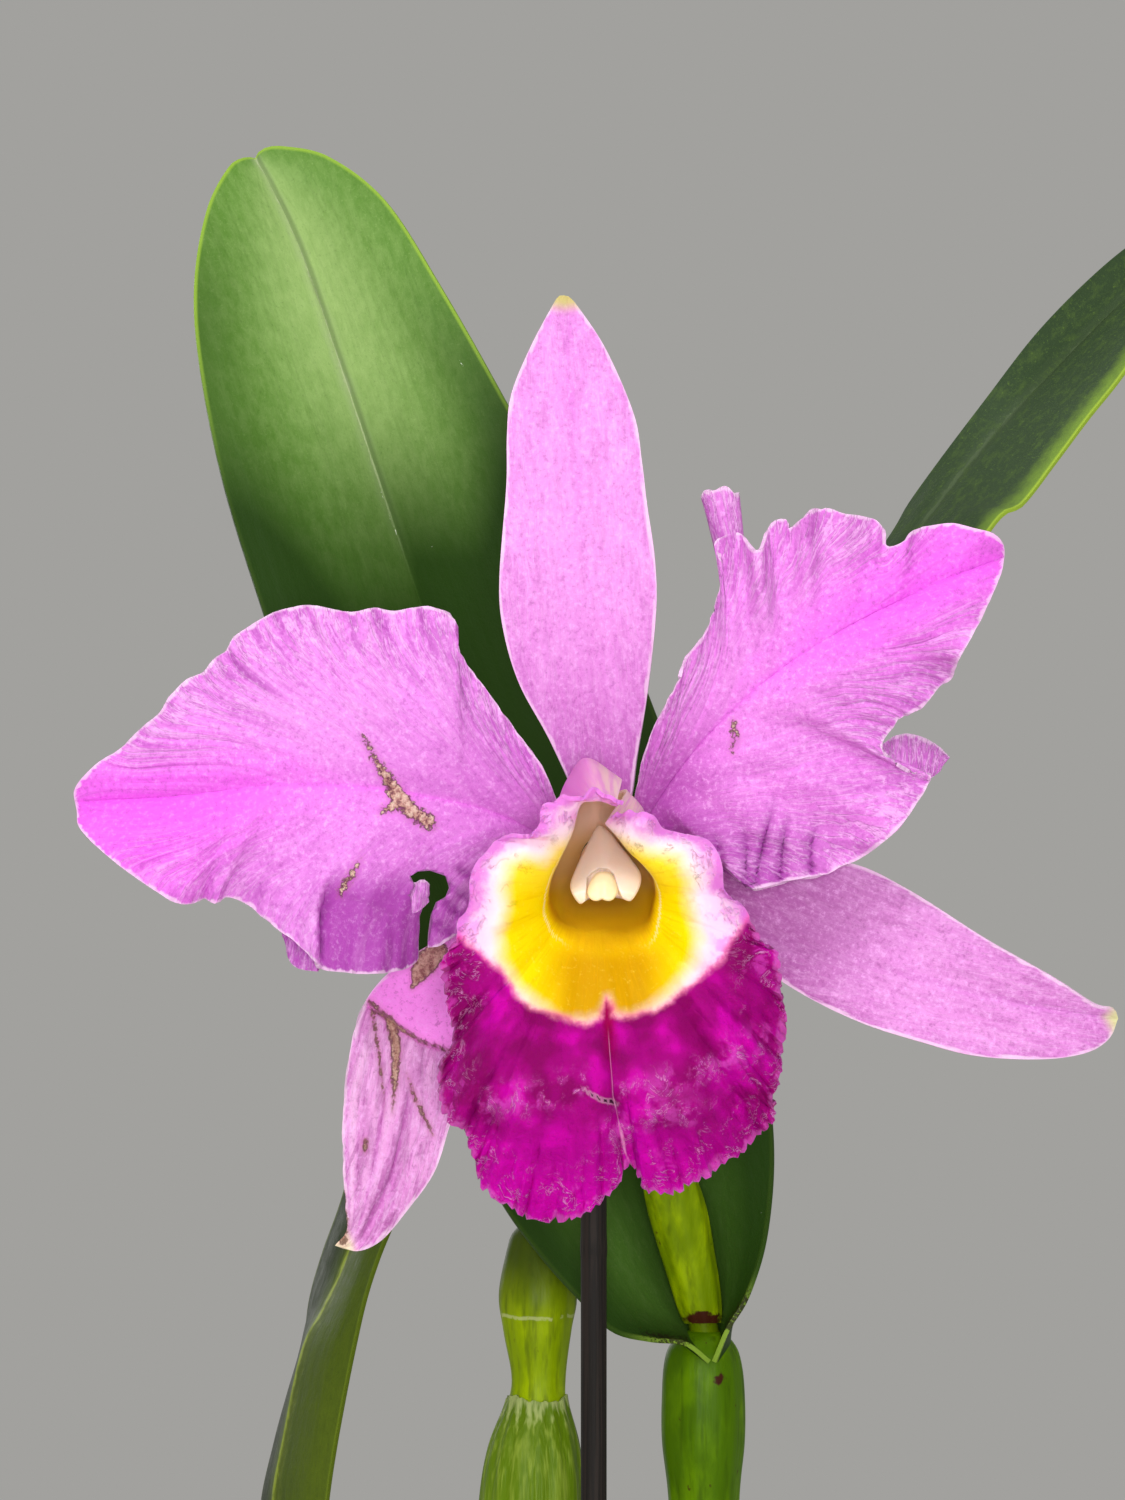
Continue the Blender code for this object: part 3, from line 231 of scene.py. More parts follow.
# The groove down the lip's middle, the raised folds beside it, and its slit with half widths.
LIP_GROOVE = [(-0.3, -16.0), (0.3, -17.1), (1.0, -30.7), (3.3, -40.0), (3.6, -46.0)]
LIP_FOLDS = [[(-23.0, -33.0), (-16.0, -31.4), (-9.0, -31.0), (-3.6, -29.2)],
             [(2.4, -31.0), (9.0, -29.0), (16.0, -26.4), (23.0, -22.0)],
             [(1.2, -36.0), (6.0, -33.6), (12.0, -33.0)]]
LIP_CRACK = [[(-3.4, -29.6, 0.05), (-1.9, -30.6, 0.22), (-0.6, -31.3, 0.2)],
             [(-0.9, -31.4, 0.15), (1.0, -31.6, 0.32), (2.4, -31.9, 0.05)]]

# What the front of the lip is coloured by, as across and up.
LIP_YELLOW = [(-13.6, 1.9), (-14.3, -1.4), (-13.9, -4.3), (-15, -7.6), (-14.7, -11), (-13.1, -14.3),
              (-10.3, -17.1), (-6.4, -19.7), (-2.6, -20), (-0.7, -19.1), (0.4, -16.9), (1.2, -19),
              (3.6, -19.3), (6.6, -18), (9.1, -16), (11, -13.6), (12.6, -10.9), (13.1, -8.6),
              (12.1, -4.7), (11.7, -1.9), (11.9, 0), (10.3, 2.9), (7.9, 3.6), (5, 4.5), (0, 6),
              (-4, 6), (-7, 4.5), (-8.6, 2.6), (-11.5, 3)]
LIP_MAGENTA = [(-30, -7.9), (-21.1, -8.1), (-17.9, -10.4), (-15, -13.3), (-13.1, -16.1),
               (-11.1, -18.6), (-7.4, -19.6), (-5, -20.4), (-2.6, -20.9), (-0.6, -20.1),
               (0.3, -17), (1.1, -19.7), (3.6, -20), (7.4, -18.9), (10.7, -16.7), (14, -14),
               (16.9, -11.4), (18.5, -8.6), (21, -4), (30, -4), (30, -60), (-30, -60)]

# Stems, as places seen from the front, with the radius at each.
PEDUNCLE = [(-0.5, 3, -14.6), (-0.5, 2.9, -17), (-0.3, 0.6, -21.5), (0.5, -6, -25.5), (2, -14, -29),
            (4, -24, -33), (8, -38, -38), (11, -50, -40), (13.2, -60, -41.4), (14.9, -67.9, -42.2)]
PEDUNCLE_RADII = [2.4, 2.6, 2.9, 2.9, 2.6, 2.3, 2.2, 2.2, 2.2, 2.2]
FLOWER_SHEATH = [(13.9, -63.2, -41.8), (13.5, -61.5, -41.5), (12.8, -58, -41.2), (11.6, -53, -40.6),
                 (10.2, -47, -39.7), (9.0, -41.5, -38.6)]
FLOWER_SHEATH_RADII = [2.45, 2.9, 3.3, 3.7, 4.1, 3.9]

# Bulbs, rhizome and roots, as places in the pot's own frame.
BULB_FRONT = [(18, 3, 101.9), (17.9, 2.6, 108), (17.4, 1.5, 122), (16.4, -0.5, 145), (15.8, -2, 170),
              (15.5, -2.6, 187), (15.4, -2.9, 196), (15.4, -3, 203), (15.3, -3, 208.4), (15.2, -3, 213.4)]
BULB_FRONT_RADII = [4.0, 4.1, 4.2, 4.4, 4.8, 5.4, 6.3, 6.3, 5.8, 4.2]
BULB_MIDDLE = [(-14, 9, 101.9), (-13.4, 8.4, 125), (-12.2, 7, 150), (-11.2, 5.6, 172), (-10.7, 5, 185.5),
               (-10.4, 5, 193.8), (-10, 5, 200.5), (-9.8, 5.2, 205), (-10, 5.6, 212), (-9.9, 6.2, 218),
               (-9.6, 7.2, 228.6)]
BULB_MIDDLE_RADII = [4.4, 5.4, 6.8, 7.6, 7.5, 6.5, 4.5, 4.2, 5.3, 6.0, 4.0]
BULB_BACK = [(-34, 20, 101.9), (-34.3, 21, 106), (-37, 27, 115), (-41.5, 35, 128), (-46.5, 42.8, 141),
             (-50, 47.6, 150.4)]
BULB_BACK_RADII = [4.2, 4.6, 6.2, 7, 5.6, 3.4]
BULB_OLD = [(-47, 12, 102), (-47.2, 11.8, 105), (-48.2, 10.8, 111), (-51, 8, 120), (-52, 6, 132),
            (-51.5, 5, 142)]
BULB_OLD_RADII = [4.0, 4.2, 5.4, 6.4, 6.4, 3]
RHIZOME = [(-51.5, 9.4, 98.5), (-47, 12, 97), (-34, 20, 97), (-24, 15.5, 97), (-14, 9, 97), (1, 4, 97),
           (18, 3, 97), (28, 5, 99), (33, 6, 102.5)]
RHIZOME_RADII = [2.6, 4.4, 4.5, 4.3, 4.5, 4.3, 4.5, 4, 2.2]
ROOTS = [
    [(20, -4, 98), (25, -11, 101.5), (26, -20, 104), (32, -30, 104.5), (31, -38, 103), (33, -39, 96)],
    [(3, -3, 98), (7, -12, 103.5), (8, -22, 104.5), (2, -33, 104.5), (-3, -41, 103), (-4, -48, 96)],
    [(27.5, -1.6, 99.5), (34, -7, 103), (41, -11, 106), (46.5, -12, 107.5), (53.2, -12, 113.5),
     (57.8, -12, 117.9), (62.9, -12, 118.3), (66.8, -12, 114), (67.4, -12, 104), (67.4, -11, 95),
     (66, -9, 85)],
    [(-23.4, 6, 98), (-25, -2, 102), (-33, -11, 104), (-34, -22, 104), (-40, -28, 103), (-41, -30, 96)],
    [(8, 10.6, 98.5), (8, 18, 102.5), (2, 26, 104), (5, 36, 104), (-1, 45, 103), (-1, 49, 96)],
    [(-22.7, 21.8, 98.5), (-19, 29, 102), (-24, 37, 103.5), (-18, 44, 102.5), (-17, 48, 96)],
]
ROOT_RADIUS = 1.9
STAKE_TOP = (-1.64, -24.0, -22.0)
STAKE_RADIUS = 2.0
STAKE_FOOT = 12.0
# The cane's joints are this far apart, the first one this far above its foot.
CANE_JOINTS = 78.0
CANE_FIRST_JOINT = 60.0

POT_HEIGHT = 115.0
POT_RIM_RADIUS = 65.0
POT_RIM_DEPTH = 22.0
POT_FOOT_RADIUS = 43.0
POT_WALL = 5.0
POT_FLOOR = 7.0
DRAIN_HOLES = 4
DRAIN_RADIUS = 5.0
DRAIN_RING = 24.0
BARK_LEVEL = 100.0


# Curves and outlines

def lengths_along(points):
    """How far along a line of points each of them lies."""
    return np.concatenate([[0], np.cumsum(np.linalg.norm(np.diff(points, axis=0), axis=1))])


def smooth_line(points, fractions, knots=None):
    """Places on one smooth curve through the points, at fractions of its length.

    With knots, which pair a place in 0 to 1 with one of the curve's own points, the fractions
    run from knot to knot instead.
    """
    p = np.array(points, float)
    p = np.vstack([2 * p[0] - p[1], p, 2 * p[-1] - p[-2]])
    samples = 10
    steps = np.linspace(0, 1, samples, endpoint=False)[:, None]
    spans = []
    for a, b, c, d in zip(p[:-3], p[1:-2], p[2:-1], p[3:]):
        spans.append(0.5 * (2 * b + (c - a) * steps + (2 * a - 5 * b + 4 * c - d) * steps ** 2
                            + (3 * b - a - 3 * c + d) * steps ** 3))
    fine = np.vstack(spans + [p[-2:-1]])
    length = lengths_along(fine)
    if knots is not None:
        places, indices = zip(*knots)
        at = np.interp(np.array(indices) * samples, np.arange(len(length)), length / length[-1])
        fractions = np.interp(fractions, places, at)
    at = np.asarray(fractions) * length[-1]
    return np.stack([np.interp(at, length, fine[:, k]) for k in range(p.shape[1])], axis=1)


def matched_lines(curves, meet, fractions):
    """The curves at the same fractions, with the points that meet lists at one fraction."""
    ends = [(0,) * len(curves), *meet, tuple(len(c) - 1 for c in curves)]
    share = np.array([[i / (len(c) - 1) for i, c in zip(row, curves)] for row in ends])
    places = share.mean(axis=1)
    return [smooth_line(c, fractions, [(a, row[k]) for a, row in zip(places, ends)])
            for k, c in enumerate(curves)]


def seen(places):
    """World points in metres of places given as they are seen from the front."""
    across, up, forward = np.asarray(places, float).T
    spread = (EYE_DISTANCE - forward) / EYE_DISTANCE
    return np.stack([EYE_X + (across - EYE_X) * spread, FLOWER_Y - forward,
                     EYE_Z + (up + FLOWER_Z - EYE_Z) * spread], axis=1) * MM


def ease(x, low, high):
    """0 below low and 1 above high, with a smooth rise between. low may be the larger."""
    t = np.clip((x - low) / (high - low), 0, 1)
    return t * t * (3 - 2 * t)


def ripple(x, seed=0.0):
    """An uneven wave between about -1 and 1, with a period of 1."""
    turn = math.tau * np.asarray(x)
    return (np.sin(turn + 5 * seed) + 0.55 * np.sin(1.73 * turn + 1.3 + 3 * seed)
            + 0.4 * np.sin(0.61 * turn + 2.1 + 7 * seed)) / 1.6


def from_line(x, z, line):
    """Distance in mm from an open line, positive on its left, and how far along it, 0 to 1."""
    line = np.array(line, float)
    best = np.full(x.shape, 1e9)
    signed = np.zeros(x.shape)
    along = np.zeros(x.shape)
    steps = np.linalg.norm(np.diff(line, axis=0), axis=1)
    start = np.concatenate([[0], np.cumsum(steps)])
    for k, (a, b) in enumerate(zip(line[:-1], line[1:])):
        dx, dz = b - a
        t = np.clip(((x - a[0]) * dx + (z - a[1]) * dz) / (steps[k] ** 2), 0, 1)
        away = np.hypot(x - a[0] - t * dx, z - a[1] - t * dz)
        nearer = away < best
        best = np.where(nearer, away, best)
        side = np.sign(dx * (z - a[1]) - dz * (x - a[0]))
        signed = np.where(nearer, away * side, signed)
        along = np.where(nearer, (start[k] + t * steps[k]) / start[-1], along)
    return signed, along


def inside(x, z, outline):
    """Distance in mm from a closed outline's edge, positive inside it."""
    ring = np.array(outline, float)
    ring = np.vstack([ring, ring[:1]])
    away = np.abs(from_line(x, z, ring)[0])
    within = np.zeros(x.shape, bool)
    for (ax, az), (bx, bz) in zip(ring[:-1], ring[1:]):
        if az != bz:
            within ^= ((az > z) != (bz > z)) & (x < (bx - ax) * (z - az) / (bz - az) + ax)
    return np.where(within, away, -away)


# Making and finishing pieces

# Vertices nearer to each other than this, in metres, become one.
MERGE_WITHIN = 1e-6
# How long a stem's rounded end is, as a share of its radius.
DOME = 0.7


def select(*pieces):
    """Selects only these pieces, the first one active, so an operator acts on them alone."""
    bpy.ops.object.select_all(action="DESELECT")
    for piece in pieces:
        piece.select_set(True)
    if pieces:
        bpy.context.view_layer.objects.active = pieces[0]


def close_up(piece):
    """Merges a piece's doubles and turns its faces outward."""
    select(piece)
    bpy.ops.object.mode_set(mode="EDIT")
    bpy.ops.mesh.select_all(action="SELECT")
    bpy.ops.mesh.remove_doubles(threshold=MERGE_WITHIN)
    bpy.ops.mesh.normals_make_consistent(inside=False)
    bpy.ops.object.mode_set(mode="OBJECT")


def apply_modifiers(piece):
    """Applies all of a piece's modifiers in order."""
    select(piece)
    for modifier in list(piece.modifiers):
        bpy.ops.object.modifier_apply(modifier=modifier.name)


def cut(piece, cutter):
    """Cuts a closed shape out of a piece and removes the shape."""
    hole = piece.modifiers.new("Cut", "BOOLEAN")
    hole.operation = "DIFFERENCE"
    hole.object = cutter
    hole.solver = "EXACT"
    apply_modifiers(piece)
    bpy.data.objects.remove(cutter, do_unlink=True)


def sheet(name, across, along, place):
    """A grid that place() bends into shape.

    place() takes each vertex's coordinates, -1 to 1 across and 0 to 1 along, and returns its
    spot in metres and the measures that the material reads, as named arrays.
    """
    select()
    bpy.ops.mesh.primitive_grid_add(x_subdivisions=across, y_subdivisions=along, size=2)
    piece = bpy.context.object
    mesh = piece.data
    piece.name = mesh.name = name
    flat = np.empty(len(mesh.vertices) * 3)
    mesh.vertices.foreach_get("co", flat)
    spots, measures = place(flat[0::3], (flat[1::3] + 1) / 2)
    mesh.vertices.foreach_set("co", spots.ravel())
    for key, values in measures.items():
        vector = values.ndim == 2
        layer = mesh.attributes.new(key, "FLOAT_VECTOR" if vector else "FLOAT", "POINT")
        layer.data.foreach_set("vector" if vector else "value", values.ravel())
    mesh.update()
    close_up(piece)
    return piece


def face_front(piece):
    """Turns an open sheet's faces so that most of it looks toward the front."""
    facing = sum(p.normal.y * p.area for p in piece.data.polygons)
    if facing > 0:
        piece.data.flip_normals()


def thicken(piece, thickness, back=0):
    """Gives an open sheet its wall. back is how many materials further on the back's own is."""
    wall = piece.modifiers.new("Wall", "SOLIDIFY")
    wall.thickness = thickness * MM
    wall.offset = 0
    wall.material_offset = back
    apply_modifiers(piece)


def dress(piece, node, slot, *skins):
    """Smooths a piece, gives it its materials, hangs it under the root and hides the imported node that it
    stands for.
    """
    for skin in skins:
        piece.data.materials.append(skin)
    select(piece)
    bpy.ops.object.shade_smooth_by_angle(angle=SHARP_EDGE)
    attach(piece, "root")
    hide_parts(node)


def join(*pieces):
    """Joins pieces into the first one."""
    select(*pieces)
    bpy.ops.object.join()
    return pieces[0]


def stem(name, points, radii, around, along, shape=None):
    """A closed stem along a smooth path in mm, its ends rounded.

    shape() may change the radius, given the turn in radians and the length along in mm.
    """
    samples = 240
    path = smooth_line([tuple(p) + (r,) for p, r in zip(points, radii)], np.linspace(0, 1, samples))
    length = lengths_along(path[:, :3])
    ahead = np.gradient(path[:, :3], axis=0)
    ahead /= np.linalg.norm(ahead, axis=1)[:, None]
    right = np.zeros_like(ahead)
    start = np.array([0.0, 1.0, 0.0]) if abs(ahead[0][1]) < 0.8 else np.array([0.0, 0.0, 1.0])
    for k, forward in enumerate(ahead):
        start = start - forward * (start @ forward)
        start /= np.linalg.norm(start)
        right[k] = start
    above = np.cross(ahead, right)

    def place(side, v):
        # The rings lie closer together toward the ends, where the stem is rounded.
        at = (0.55 * v + 0.45 * (0.5 - 0.5 * np.cos(np.pi * v))) * length[-1]
        values = [np.interp(at, length, row) for row in np.hstack([path, right, above]).T]
        centre, radius = np.stack(values[:3], axis=1), values[3]
        turn = np.pi * side
        if shape:
            radius = radius * shape(turn, at)
        end = np.minimum(at, length[-1] - at) / (DOME * np.maximum(radius, 0.1))
        radius = radius * np.sqrt(np.clip(1 - (1 - np.clip(end, 0, 1)) ** 2, 0, 1))
        spot = (centre + np.stack(values[4:7], axis=1) * (radius * np.cos(turn))[:, None]
                + np.stack(values[7:10], axis=1) * (radius * np.sin(turn))[:, None])
        return spot * MM, {}

    return sheet(name, around, along, place)


def in_millimetres(places):
    """World points in mm of places that are given as seen from the front."""
    return [tuple(p) for p in seen(places) / MM]


# Materials

def linear(hex_colour):
    """An sRGB hex colour as linear red, green, blue and alpha."""
    shares = [int(hex_colour[i:i + 2], 16) / 255 for i in (1, 3, 5)]
    return [p / 12.92 if p <= 0.04045 else ((p + 0.055) / 1.055) ** 2.4 for p in shares] + [1.0]


def add(tree, kind, inputs=None, output=0, stops=(), **settings):
    """Adds one node with its settings and links, and returns the output that others read.

    An input is a value, a hex colour or another node's output. stops are a ramp's colours.
    """
    made = tree.nodes.new("ShaderNode" + kind)
    for key, value in settings.items():
        setattr(made, key, value)
    for key, value in (inputs or {}).items():
        socket = made.inputs[key]
        if isinstance(value, bpy.types.NodeSocket):
            tree.links.new(value, socket)
        else:
            socket.default_value = linear(value) if isinstance(value, str) else value
    for k, (place, colour) in enumerate(stops):
        elements = made.color_ramp.elements
        stop = elements[k] if k < 2 else elements.new(place)
        stop.position = place
        stop.color = linear(colour)
    return made.outputs[output] if made.outputs else None


def material(name, build):
    """A Principled material whose sockets build() returns."""
    made = bpy.data.materials.new(name)
    made.use_nodes = True
    tree = made.node_tree
    tree.nodes.clear()
    shader = add(tree, "BsdfPrincipled", build(tree))
    add(tree, "OutputMaterial", {"Surface": shader})
    return made


def parts(tree, name):
    """A vector attribute and its three numbers."""
    vector = add(tree, "Attribute", attribute_name=name, output="Vector")
    return (vector, *add(tree, "SeparateXYZ", {0: vector}).node.outputs)


def in_mm(tree):
    """Object coordinates in mm."""
    spot = add(tree, "TexCoord", output="Object")
    return add(tree, "VectorMath", {0: spot, 3: 1 / MM}, operation="SCALE")


def height_of(tree, spot):
    """How high a place is, in mm."""
    return add(tree, "SeparateXYZ", {0: spot}, output="Z")


def grain(tree, spot, size, detail=3.0, stretch=(1, 1, 1), rough=0.55, swirl=0.0):
    """Noise whose patches are about size mm across, drawn out by stretch."""
    scale = tuple(1 / (size * s) for s in stretch)
    spot = add(tree, "Mapping", {"Vector": spot, "Scale": scale})
    return add(tree, "TexNoise", {"Vector": spot, "Scale": 1.0, "Detail": detail, "Roughness": rough,
                                  "Distortion": swirl})


def between(tree, value, low, high, least=0.0, most=1.0):
    """A value eased from low..high to least..most."""
    return add(tree, "MapRange", {"Value": value, "From Min": low, "From Max": high, "To Min": least,
                                  "To Max": most}, interpolation_type="SMOOTHSTEP")


def layers(tree, ground, *laid):
    """A colour with others laid over it in turn, each where its mask is 1."""
    for colour, mask in laid:
        ground = add(tree, "Mix", {0: mask, 6: ground, 7: colour}, output=2, data_type="RGBA")
    return ground


def combined(tree, operation, *values, clamp=False):
    """Values put together by one operation, from the first to the last."""
    result = values[0]
    for value in values[1:]:
        result = add(tree, "Math", {0: result, 1: value}, operation=operation, use_clamp=clamp)
    return result


def total(tree, *values):
    """The sum of values."""
    return combined(tree, "ADD", *values)


def times(tree, *values):
    """The product of masks."""
    return combined(tree, "MULTIPLY", *values)


def away_from(tree, value, middle=0.0):
    """How far a value is from a middle one, either way."""
    off = combined(tree, "SUBTRACT", value, middle)
    return add(tree, "Math", {0: off}, operation="ABSOLUTE")


def ridge(tree, noise, width):
    """1 where noise passes its middle, which draws thin wandering lines, and 0 away from it."""
    return between(tree, away_from(tree, noise, 0.5), width, 0.0)


def patch(tree, across, up, half_sizes, ragged):
    """A ragged oval mark seen from the front: its centre and its half sizes in mm."""
    spot = in_mm(tree)
    stir = add(tree, "TexNoise", {"Vector": spot, "Scale": 0.9, "Detail": 3.0}, output="Color")
    stir = add(tree, "VectorMath", {0: stir, 1: (0.5, 0.5, 0.5)}, operation="SUBTRACT")
    stir = add(tree, "VectorMath", {0: stir, 3: 2.2 * ragged}, operation="SCALE")
    spot = add(tree, "VectorMath", {0: spot, 1: stir}, operation="ADD")
    spot = add(tree, "Mapping", {"Vector": spot, "Location": (across, FLOWER_Y, FLOWER_Z + up),
                                 "Scale": (half_sizes[0], THROUGH, half_sizes[1])}, vector_type="TEXTURE")
    away = add(tree, "VectorMath", {0: spot}, operation="LENGTH", output="Value")
    return between(tree, away, 1.15, 0.75)


def bump(tree, height, depth):
    """A bump whose height of 1 stands depth mm proud."""
    return add(tree, "Bump", {"Height": height, "Distance": depth * MM, "Strength": 1.0})


def flesh(weight, colours, depth):
    """Light that enters living flesh: its share, how far each colour goes and the depth in mm."""
    return {"Subsurface Weight": weight, "Subsurface Radius": colours, "Subsurface Scale": depth * MM}


LIP_FLESH = flesh(0.4, (1.0, 0.6, 0.5), 1.6)


def petal_skin(name, ground, flush, light, shaded, veins=1.0, wrinkles=1.0, tip="#D9CBA0",
               crust=("#7A4840", "#D6A58C", "#F8DAC0"), ragged_by=0.45):
    """Orchid petal: thin moist flesh of tiny domed cells, which gives a soft, faintly frosted
    pink with fine wrinkles and pale branching veins toward a thin pale edge. The wrinkles get
    painted shade in their hollows and creases and painted highlights on their crests; the tint
    adds painted shade and, besides the skin's own pallor, painted light."""
    def build(tree):
        skin, _, _, edge = parts(tree, "skin")
        _, flushed, pallor_and_painted_light, shade = parts(tree, "tint")
        _, crusted, tipped, calm = parts(tree, "mark")
        spot = in_mm(tree)
        broad = grain(tree, skin, 7.0, 3.0, (1, 3, 1))
        fold = grain(tree, skin, 1.8, 3.0, (1, 4, 60), swirl=0.4)
        fine = grain(tree, skin, 1.1, 4.0, (1, 6, 60), swirl=0.3)
        frost = grain(tree, spot, 0.8, 5.0, rough=0.75)
        crumb = grain(tree, spot, 0.8, 4.0, rough=0.7)
        near_edge = times(tree, between(tree, edge, 14.0, 2.0, 0.35, 1.0), between(tree, calm, 1.0, 0.0))
        lines = times(tree, ridge(tree, fine, 0.05), near_edge,
                      between(tree, shade, 0.3, 1.0, veins, 0.5 * veins))
        flushing = combined(tree, "ADD", flushed, between(tree, broad, 0.3, 0.7, -0.15, 0.15), clamp=True)
        # Painted shade in the wrinkles' hollows and fine creases, painted highlights on their crests.
        painted_hollow_shade = times(tree, between(tree, fold, 0.5, 0.34), near_edge, 0.5 * wrinkles)
        painted_crest_highlights = times(tree, between(tree, fold, 0.52, 0.66), near_edge, 0.35 * wrinkles)
        painted_crease_shade = times(tree, between(tree, fine, 0.42, 0.36), near_edge, 0.5 * wrinkles)
        frosted = times(tree, between(tree, frost, 0.5, 0.68), between(tree, shade, 0.2, 1.0, 0.42, 0.22),
                        between(tree, flushed, 0.2, 0.9, 1.0, 0.5))
        rim = total(tree, edge, between(tree, fine, 0.3, 0.7, -0.3, 0.3))
        ragged = total(tree, crusted, between(tree, crumb, 0.3, 0.7, -ragged_by, ragged_by))
        mark = between(tree, ragged, -0.1, 0.25)
        outline = times(tree, between(tree, ragged, -0.25, 0.0), between(tree, ragged, 0.25, 0.0))
        dry = add(tree, "ValToRGB", {"Fac": crumb},
                  stops=[(0.38, crust[0]), (0.62, crust[2]), (0.5, crust[1])])
        colour = layers(
            tree, ground,
            (light, between(tree, broad, 0.35, 0.7, 0.0, 0.55)),
            # The tint's pale share is the skin's own pallor and painted light, its shade share painted
            # shade.
            (light, pallor_and_painted_light),
            (flush, flushing),
            (shaded, shade),
            (shaded, painted_hollow_shade),
            ("#FFC4FC", painted_crest_highlights),
            (shaded, painted_crease_shade),
            ("#FFD0FC", times(tree, lines, 0.4)),
            ("#FFC6FF", frosted),
            (shaded, between(tree, frost, 0.48, 0.32, 0.0, 0.46)),
            ("#FADCF4", between(tree, rim, 0.55, 0.15, 0.0, 0.6)),
            (tip, tipped),
            ("#A8587E", between(tree, ragged, -0.9, 0.1, 0.0, 0.35)),
            (dry, times(tree, mark, 0.9)),
            (crust[0], times(tree, outline, 0.6)))
        height = total(tree, times(tree, fold, near_edge, 0.5 * wrinkles), times(tree, lines, -0.1),
                       times(tree, frost, 0.16), times(tree, mark, crumb, 0.9))
        return {"Base Color": colour, "Roughness": 0.5, "Specular IOR Level": 0.25,
                "Normal": bump(tree, height, 1.0), **flesh(0.12, (1.0, 0.45, 0.9), 0.5)}
    return material(name, build)


